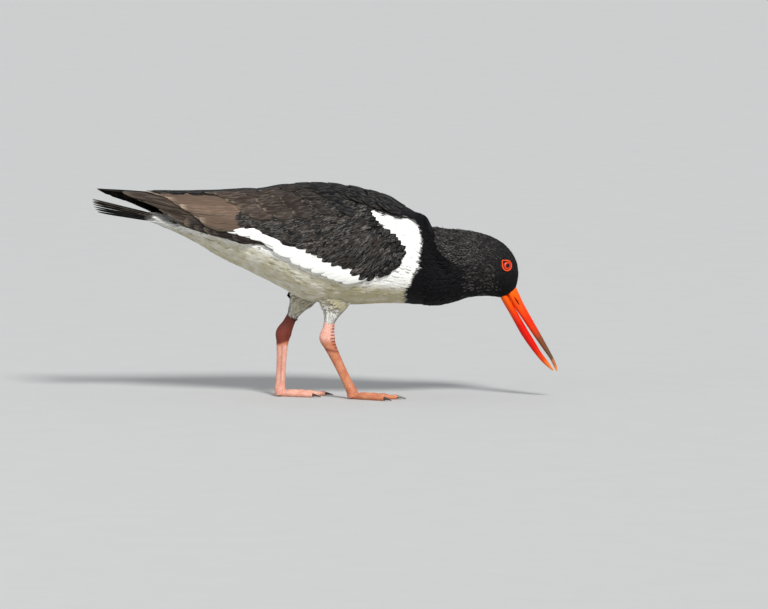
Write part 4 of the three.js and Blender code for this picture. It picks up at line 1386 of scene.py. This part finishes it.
def eye_form():
    rows, sides = 90, 64
    polar = np.linspace(0, np.pi, rows + 2)[1:-1, None]
    turn = full_turn(sides)[None]
    radius = EYE["radius"]
    out = radius * np.cos(polar) + 0 * turn
    forward, up = radius * np.sin(polar) * np.cos(turn), radius * np.sin(polar) * np.sin(turn)
    points, triangles = loft(eye_point(out, forward, up))
    off_axis = np.broadcast_to(polar, out.shape).ravel()
    return points, triangles, {"off_axis": np.append(off_axis, [0, np.pi])}


def eye_ring_form():
    rows, sides = 120, 20
    place = full_turn(rows)[:, None]
    swing = full_turn(sides)[None]
    corner = bell(place - EYE_RING["corner_turn"], 0.34)
    bumps = 0.06 * np.sin(place * 23) * np.maximum(0, np.sin(swing))
    middle = EYE_RING["radius"] + EYE_RING["corner_reach"] * corner
    reach = middle + (EYE_RING["half"] + bumps) * np.cos(swing)
    rise = EYE_RING["rise"] + (EYE_RING["thick"] + bumps) * np.sin(swing)
    forward, up = reach * np.cos(place), reach * np.sin(place)
    rings = eye_point(rise, forward, up)
    row, side = np.meshgrid(np.arange(rows), np.arange(sides), indexing="ij")
    a, b = (row * sides + side).ravel(), (row * sides + (side + 1) % sides).ravel()
    c, d = a + sides, b + sides
    count = rows * sides
    triangles = np.concatenate([np.stack([a, b, d % count], 1), np.stack([a, d % count, c % count], 1)])
    points = rings.reshape(-1, 3)
    return points, outward(points, triangles), {}


EYE_FINISH, RING_FINISH = eye_finish(), ring_finish()
eyes = {}
for side in ("right", "left"):
    ball = piece_of(f"eyeball_{side}", on_side(side, eye_form()), EYE_FINISH)
    ring = piece_of(f"eye_rim_{side}", on_side(side, eye_ring_form()), RING_FINISH)
    eyes[side] = (ball, ring)

# Legs: one scaled skin over the shank, the tarsus and the toes of each, and its claws.
TOES = [("inner", 27 * DEGREE, 25, 3.1), ("middle", -2 * DEGREE, 33, 3.3), ("outer", -31 * DEGREE, 28, 3.1)]
TOE_PADS = 3
TOE_START = 4.2
TOE_END_RADIUS = 2.1
CLAW_LENGTH = 7
CLAW_INSET = 0.6  # how far each claw's root lies inside its toe
LEG_VOXEL = 0.42
SCALE_SPACING = 1.5
SCALE_DEPTH = 0.16
SCUTE_HEIGHT = 2.6


def leg_finish():
    finish = Finish(
        "leg_skin", Roughness=0.46, Specular_IOR_Level=0.3, Subsurface_Weight=0.08, Subsurface_Scale=0.001)
    grain = finish.noise(0.7, 4)
    cloud = finish.noise(6.0, 3)
    orange = finish.blend(finish.span(cloud, 0.3, 0.7), (0.50, 0.16, 0.075), (0.60, 0.24, 0.125))
    pink = finish.blend(finish.span(cloud, 0.3, 0.7), (0.76, 0.35, 0.265), (0.86, 0.50, 0.40))
    # Dark red: marks, and painted shade high on the left leg.
    red = finish.blend(cloud, (0.085, 0.011, 0.006), (0.20, 0.030, 0.017))
    skin_colour = finish.blend(finish.value("pale"), orange, pink)
    base = finish.blend(finish.value("flush"), skin_colour, red)
    grooved = finish.blend(finish.math("MULTIPLY", finish.value("groove"), 0.55), base, (0.16, 0.045, 0.028))
    finish.colour(finish.blend(finish.span(grain, 0.55, 0.9, 0, 0.2), grooved, (0.80, 0.50, 0.37)))
    finish.bump(grain, 0.06)
    return finish.material


def on_foot(sole, heading, reach, aside, height):
    """Points reach out from under the sole, aside of the heading, and height over the floor."""
    ahead = np.array([math.cos(heading), math.sin(heading), 0])
    lateral = np.array([-ahead[1], ahead[0], 0])
    under_sole = np.array([sole[0], sole[1], 0])
    points = under_sole + ahead * reach[..., None] + lateral * aside[..., None]
    points[..., 2] = height
    return points


def toe_form(sole, heading, length, radius):
    run = np.linspace(0, 1, 50)[:, None]
    turn = full_turn(28)[None]
    size = mix(radius, TOE_END_RADIUS, run) * (1 + 0.09 * np.cos(2 * np.pi * TOE_PADS * run))
    height = size * 0.86 + size * 0.94 * np.sin(turn)
    rings = on_foot(sole, heading, (TOE_START + length) * run, size * np.cos(turn), height)
    return (*loft(rings), {})


def claw_form(sole, heading, length):
    run = np.linspace(0, 1, 16)[:, None]
    turn = full_turn(20)[None]
    size = mix(1.6, 0.32, run**0.8)
    reach = TOE_START + length - CLAW_INSET + (CLAW_LENGTH + CLAW_INSET) * run
    height = np.maximum(0.02, 2.0 - 1.3 * run * run + size * np.sin(turn))
    return (*loft(on_foot(sole, heading, reach, size * np.cos(turn), height)), {})


def leg_limb(leg):
    _, cuff, ankle, sole, shank_down, tarsus_down = leg_joints(leg)
    knee_end = cuff + shank_down
    ankle_end = ankle + 6.5 * tarsus_down
    stations = [
        (knee_end - 4 * shank_down, 4.1, 3.8),
        (mix(knee_end, ankle, 0.45), 4.9, 4.1),
        (ankle - 1.5 * shank_down, 6.5, 4.9),
        (ankle_end, 5.0, 4.2),
        (mix(ankle_end, sole, 0.35), 4.1, 3.25),
        (mix(ankle_end, sole, 0.78), 3.9, 3.1),
        (sole, 4.6, 4.4),
        (sole + (0.6, 0, -4.2), 4.6, 4.7),
    ]
    return (*loft(limb(stations, 120, 36)), {})


def spaced_points(points, spacing):
    """Some of the points, no two closer than the spacing, as an index array."""
    tree = search_tree(points)
    free = np.ones(len(points), bool)
    chosen = []
    for k in draws.permutation(len(points)):
        if free[k]:
            chosen.append(k)
            for _, other, _ in tree.find_range(points[k], spacing):
                free[other] = False
    return np.array(chosen)


def leg_marks(side, leg, points):
    """Where the leg is dark red, and where it is pale, 0 to 1: dark red marks, and painted shade of the body
    high on the left leg.
    """
    _, cuff, ankle, sole, _, _ = leg_joints(leg)
    z = points[:, 2]
    fore = points[:, 0] - np.interp(z, [sole[2], ankle[2], cuff[2]], [sole[0], ankle[0], cuff[0]])
    if side == "left":
        stripe = 0.4 * bell(fore, 0.9) * ease((44 - z) / 3) * ease((z - 8) / 6)
        # High on the far, left leg the dark red is painted shade of the body.
        return np.maximum(ease((z - 43 - 0.3 * fore) / 2.4), stripe), 0.75 * ease((44 - z) / 3)
    below_ankle = 0.75 * bell(z - 40 + 0.2 * fore, 1.4)
    scutes = 0.45 + 0.55 * np.sin(z * 2 * np.pi / SCUTE_HEIGHT)
    front = 0.9 * ease((fore - 1.8) / 1.6) * scutes * ease((z - 38) / 5) * ease((63 - z) / 4)
    return np.clip(np.maximum(below_ankle, front), 0, 1), ease((z - 44) / 8)


def scaled_leg(side, leg):
    """The bare leg, with its scales sunk apart by grooves."""
    _, _, _, sole, _, _ = leg_joints(leg)
    mirror = 1 if side == "right" else -1
    forms = [leg_limb(leg)]
    claws = []
    for _, turn, length, radius in TOES:
        heading = leg["heading"] + turn * mirror
        forms.append(toe_form(sole, heading, length, radius))
        claws.append(claw_form(sole, heading, length))
    obj = fused(f"leg_skin_{side}", forms, LEG_VOXEL, smoothing=3, finish=LEG_FINISH)
    mesh = obj.data
    points = points_of(mesh)
    normals = normals_of(mesh)
    tree = search_tree(points[spaced_points(points, SCALE_SPACING)])
    distances = np.array([[d for _, _, d in tree.find_n(point, 2)] for point in points])
    groove = 1 - ease((distances[:, 1] - distances[:, 0]) / 0.5)
    out_from_sole = np.hypot(points[:, 0] - sole[0], points[:, 1] - sole[1])
    on_toe = (points[:, 2] < 8) & (out_from_sole > 7) & (normals[:, 2] > 0.35)
    band = np.abs(((out_from_sole / 1.5) % 1) - 0.5) * 2
    groove = np.where(on_toe, ease((band - 0.72) / 0.28), groove)
    points = points - normals * (SCALE_DEPTH * groove)[:, None]
    points[:, 2] = np.maximum(points[:, 2], 0.0)
    mesh.vertices.foreach_set("co", in_frame(points).astype(np.float32).ravel())
    mesh.update()
    paint(mesh, "groove", groove)
    flush, pale = leg_marks(side, leg, points)
    paint(mesh, "flush", flush)
    paint(mesh, "pale", pale)
    nails = piece_of(f"claws_{side}", joined(claws), CLAW_FINISH)
    return obj, nails


def claw_finish():
    finish = Finish("claw_horn", Roughness=0.35, Coat_Weight=0.2)
    grain = finish.noise(0.6, 4)
    finish.colour(finish.blend(grain, (0.018, 0.012, 0.010), (0.075, 0.048, 0.036)))
    finish.bump(grain, 0.05)
    return finish.material


LEG_FINISH, CLAW_FINISH = leg_finish(), claw_finish()
legs = {side: scaled_leg(side, leg) for side, leg in LEGS.items()}

# What rides on the bird; the imported parts that the new pieces replace are hidden.
for piece in [skin, *coat, *wings["right"], *wings["left"], back_cape, tail, upper_bill, lower_bill,
              *eyes["right"], *eyes["left"], *legs["right"], *legs["left"]]:
    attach(piece, "root")

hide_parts("torso", "back", "neck", "head", "thigh_right", "thigh_left")
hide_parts("tail_coverts")
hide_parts("tail")
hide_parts("bill_upper")
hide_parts("bill_lower")
for side in ("right", "left"):
    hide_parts(f"wing_{side}")
    ball, ring = eyes[side]
    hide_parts(f"eye_{side}")
    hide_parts(f"eye_ring_{side}")
    toes = [name for name, _, _, _ in TOES]
    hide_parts(f"shank_{side}", f"tarsus_{side}", *(f"toe_{name}_{side}" for name in toes))
    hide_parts(*(f"claw_{name}_{side}" for name in toes))
bpy.data.objects.remove(LEAF)


# Floor, light and camera, in metres.
FLOOR_HALF = 60.0
LIGHTS_AIM = (0, 0, 0.09)
KEY_PLACE = (0.6, -1.9, 1.75)
FILL_PLACE = (-1.9, -1.5, 0.9)
SKY_COLOUR = (0.80, 0.83, 0.87)
SKY_STRENGTH = 0.6


def pale_floor():
    mesh = bpy.data.meshes.new("floor")
    corners = [(FLOOR_HALF * x, FLOOR_HALF * y, 0) for x, y in ((-1, -1), (1, -1), (1, 1), (-1, 1))]
    mesh.from_pydata(corners, [], [(0, 1, 2, 3)])
    finish = Finish("pale_floor", Roughness=0.85)
    finish.colour(finish.blend(finish.noise(40.0, 2), (0.51, 0.51, 0.50), (0.54, 0.54, 0.53)))
    mesh.materials.append(finish.material)
    obj = placed("floor", mesh)


def add_light(name, kind, place, power, **settings):
    data = bpy.data.lights.new(name, kind)
    data.energy = power
    for key, value in settings.items():
        setattr(data, key, value)
    obj = placed(name, data)
    obj.location = place
    look_at(obj, LIGHTS_AIM)


def look_at(obj, target):
    way = Vector(target) - Vector(obj.location)
    obj.rotation_euler = way.to_track_quat("-Z", "Y").to_euler()


def pale_sky():
    world = bpy.data.worlds.new("pale_sky")
    world.use_nodes = True
    background = world.node_tree.nodes["Background"]
    background.inputs["Color"].default_value = opaque(SKY_COLOUR)
    background.inputs["Strength"].default_value = SKY_STRENGTH
    bpy.context.scene.world = world


PHOTO_WIDTH = 629.8  # millimetres that the photograph's width spans at the bird
PHOTO_CENTRE = (46.7, 0, 76.7)
PHOTO_ELEVATION = 4.5 * DEGREE
CAMERA_DISTANCE = 8.0
SENSOR_WIDTH = 36


def photo_camera():
    data = bpy.data.cameras.new("photo_camera")
    data.sensor_width = SENSOR_WIDTH
    data.lens = SENSOR_WIDTH * CAMERA_DISTANCE / (PHOTO_WIDTH * MILLIMETRE)
    data.clip_end = 200
    obj = placed("photo_camera", data)
    target = in_frame([PHOTO_CENTRE])[0]
    away = np.array((0, -math.cos(PHOTO_ELEVATION), math.sin(PHOTO_ELEVATION)))
    obj.location = target + away * CAMERA_DISTANCE
    look_at(obj, target)
    bpy.context.scene.camera = obj


pale_floor()
pale_sky()
add_light("key_light", "SUN", KEY_PLACE, 3.3, angle=14 * DEGREE)  # wide, so its shadows are soft
add_light("fill_light", "AREA", FILL_PLACE, 6, shape="DISK", size=1.6)
bpy.context.scene.view_settings.view_transform = "Standard"
photo_camera()
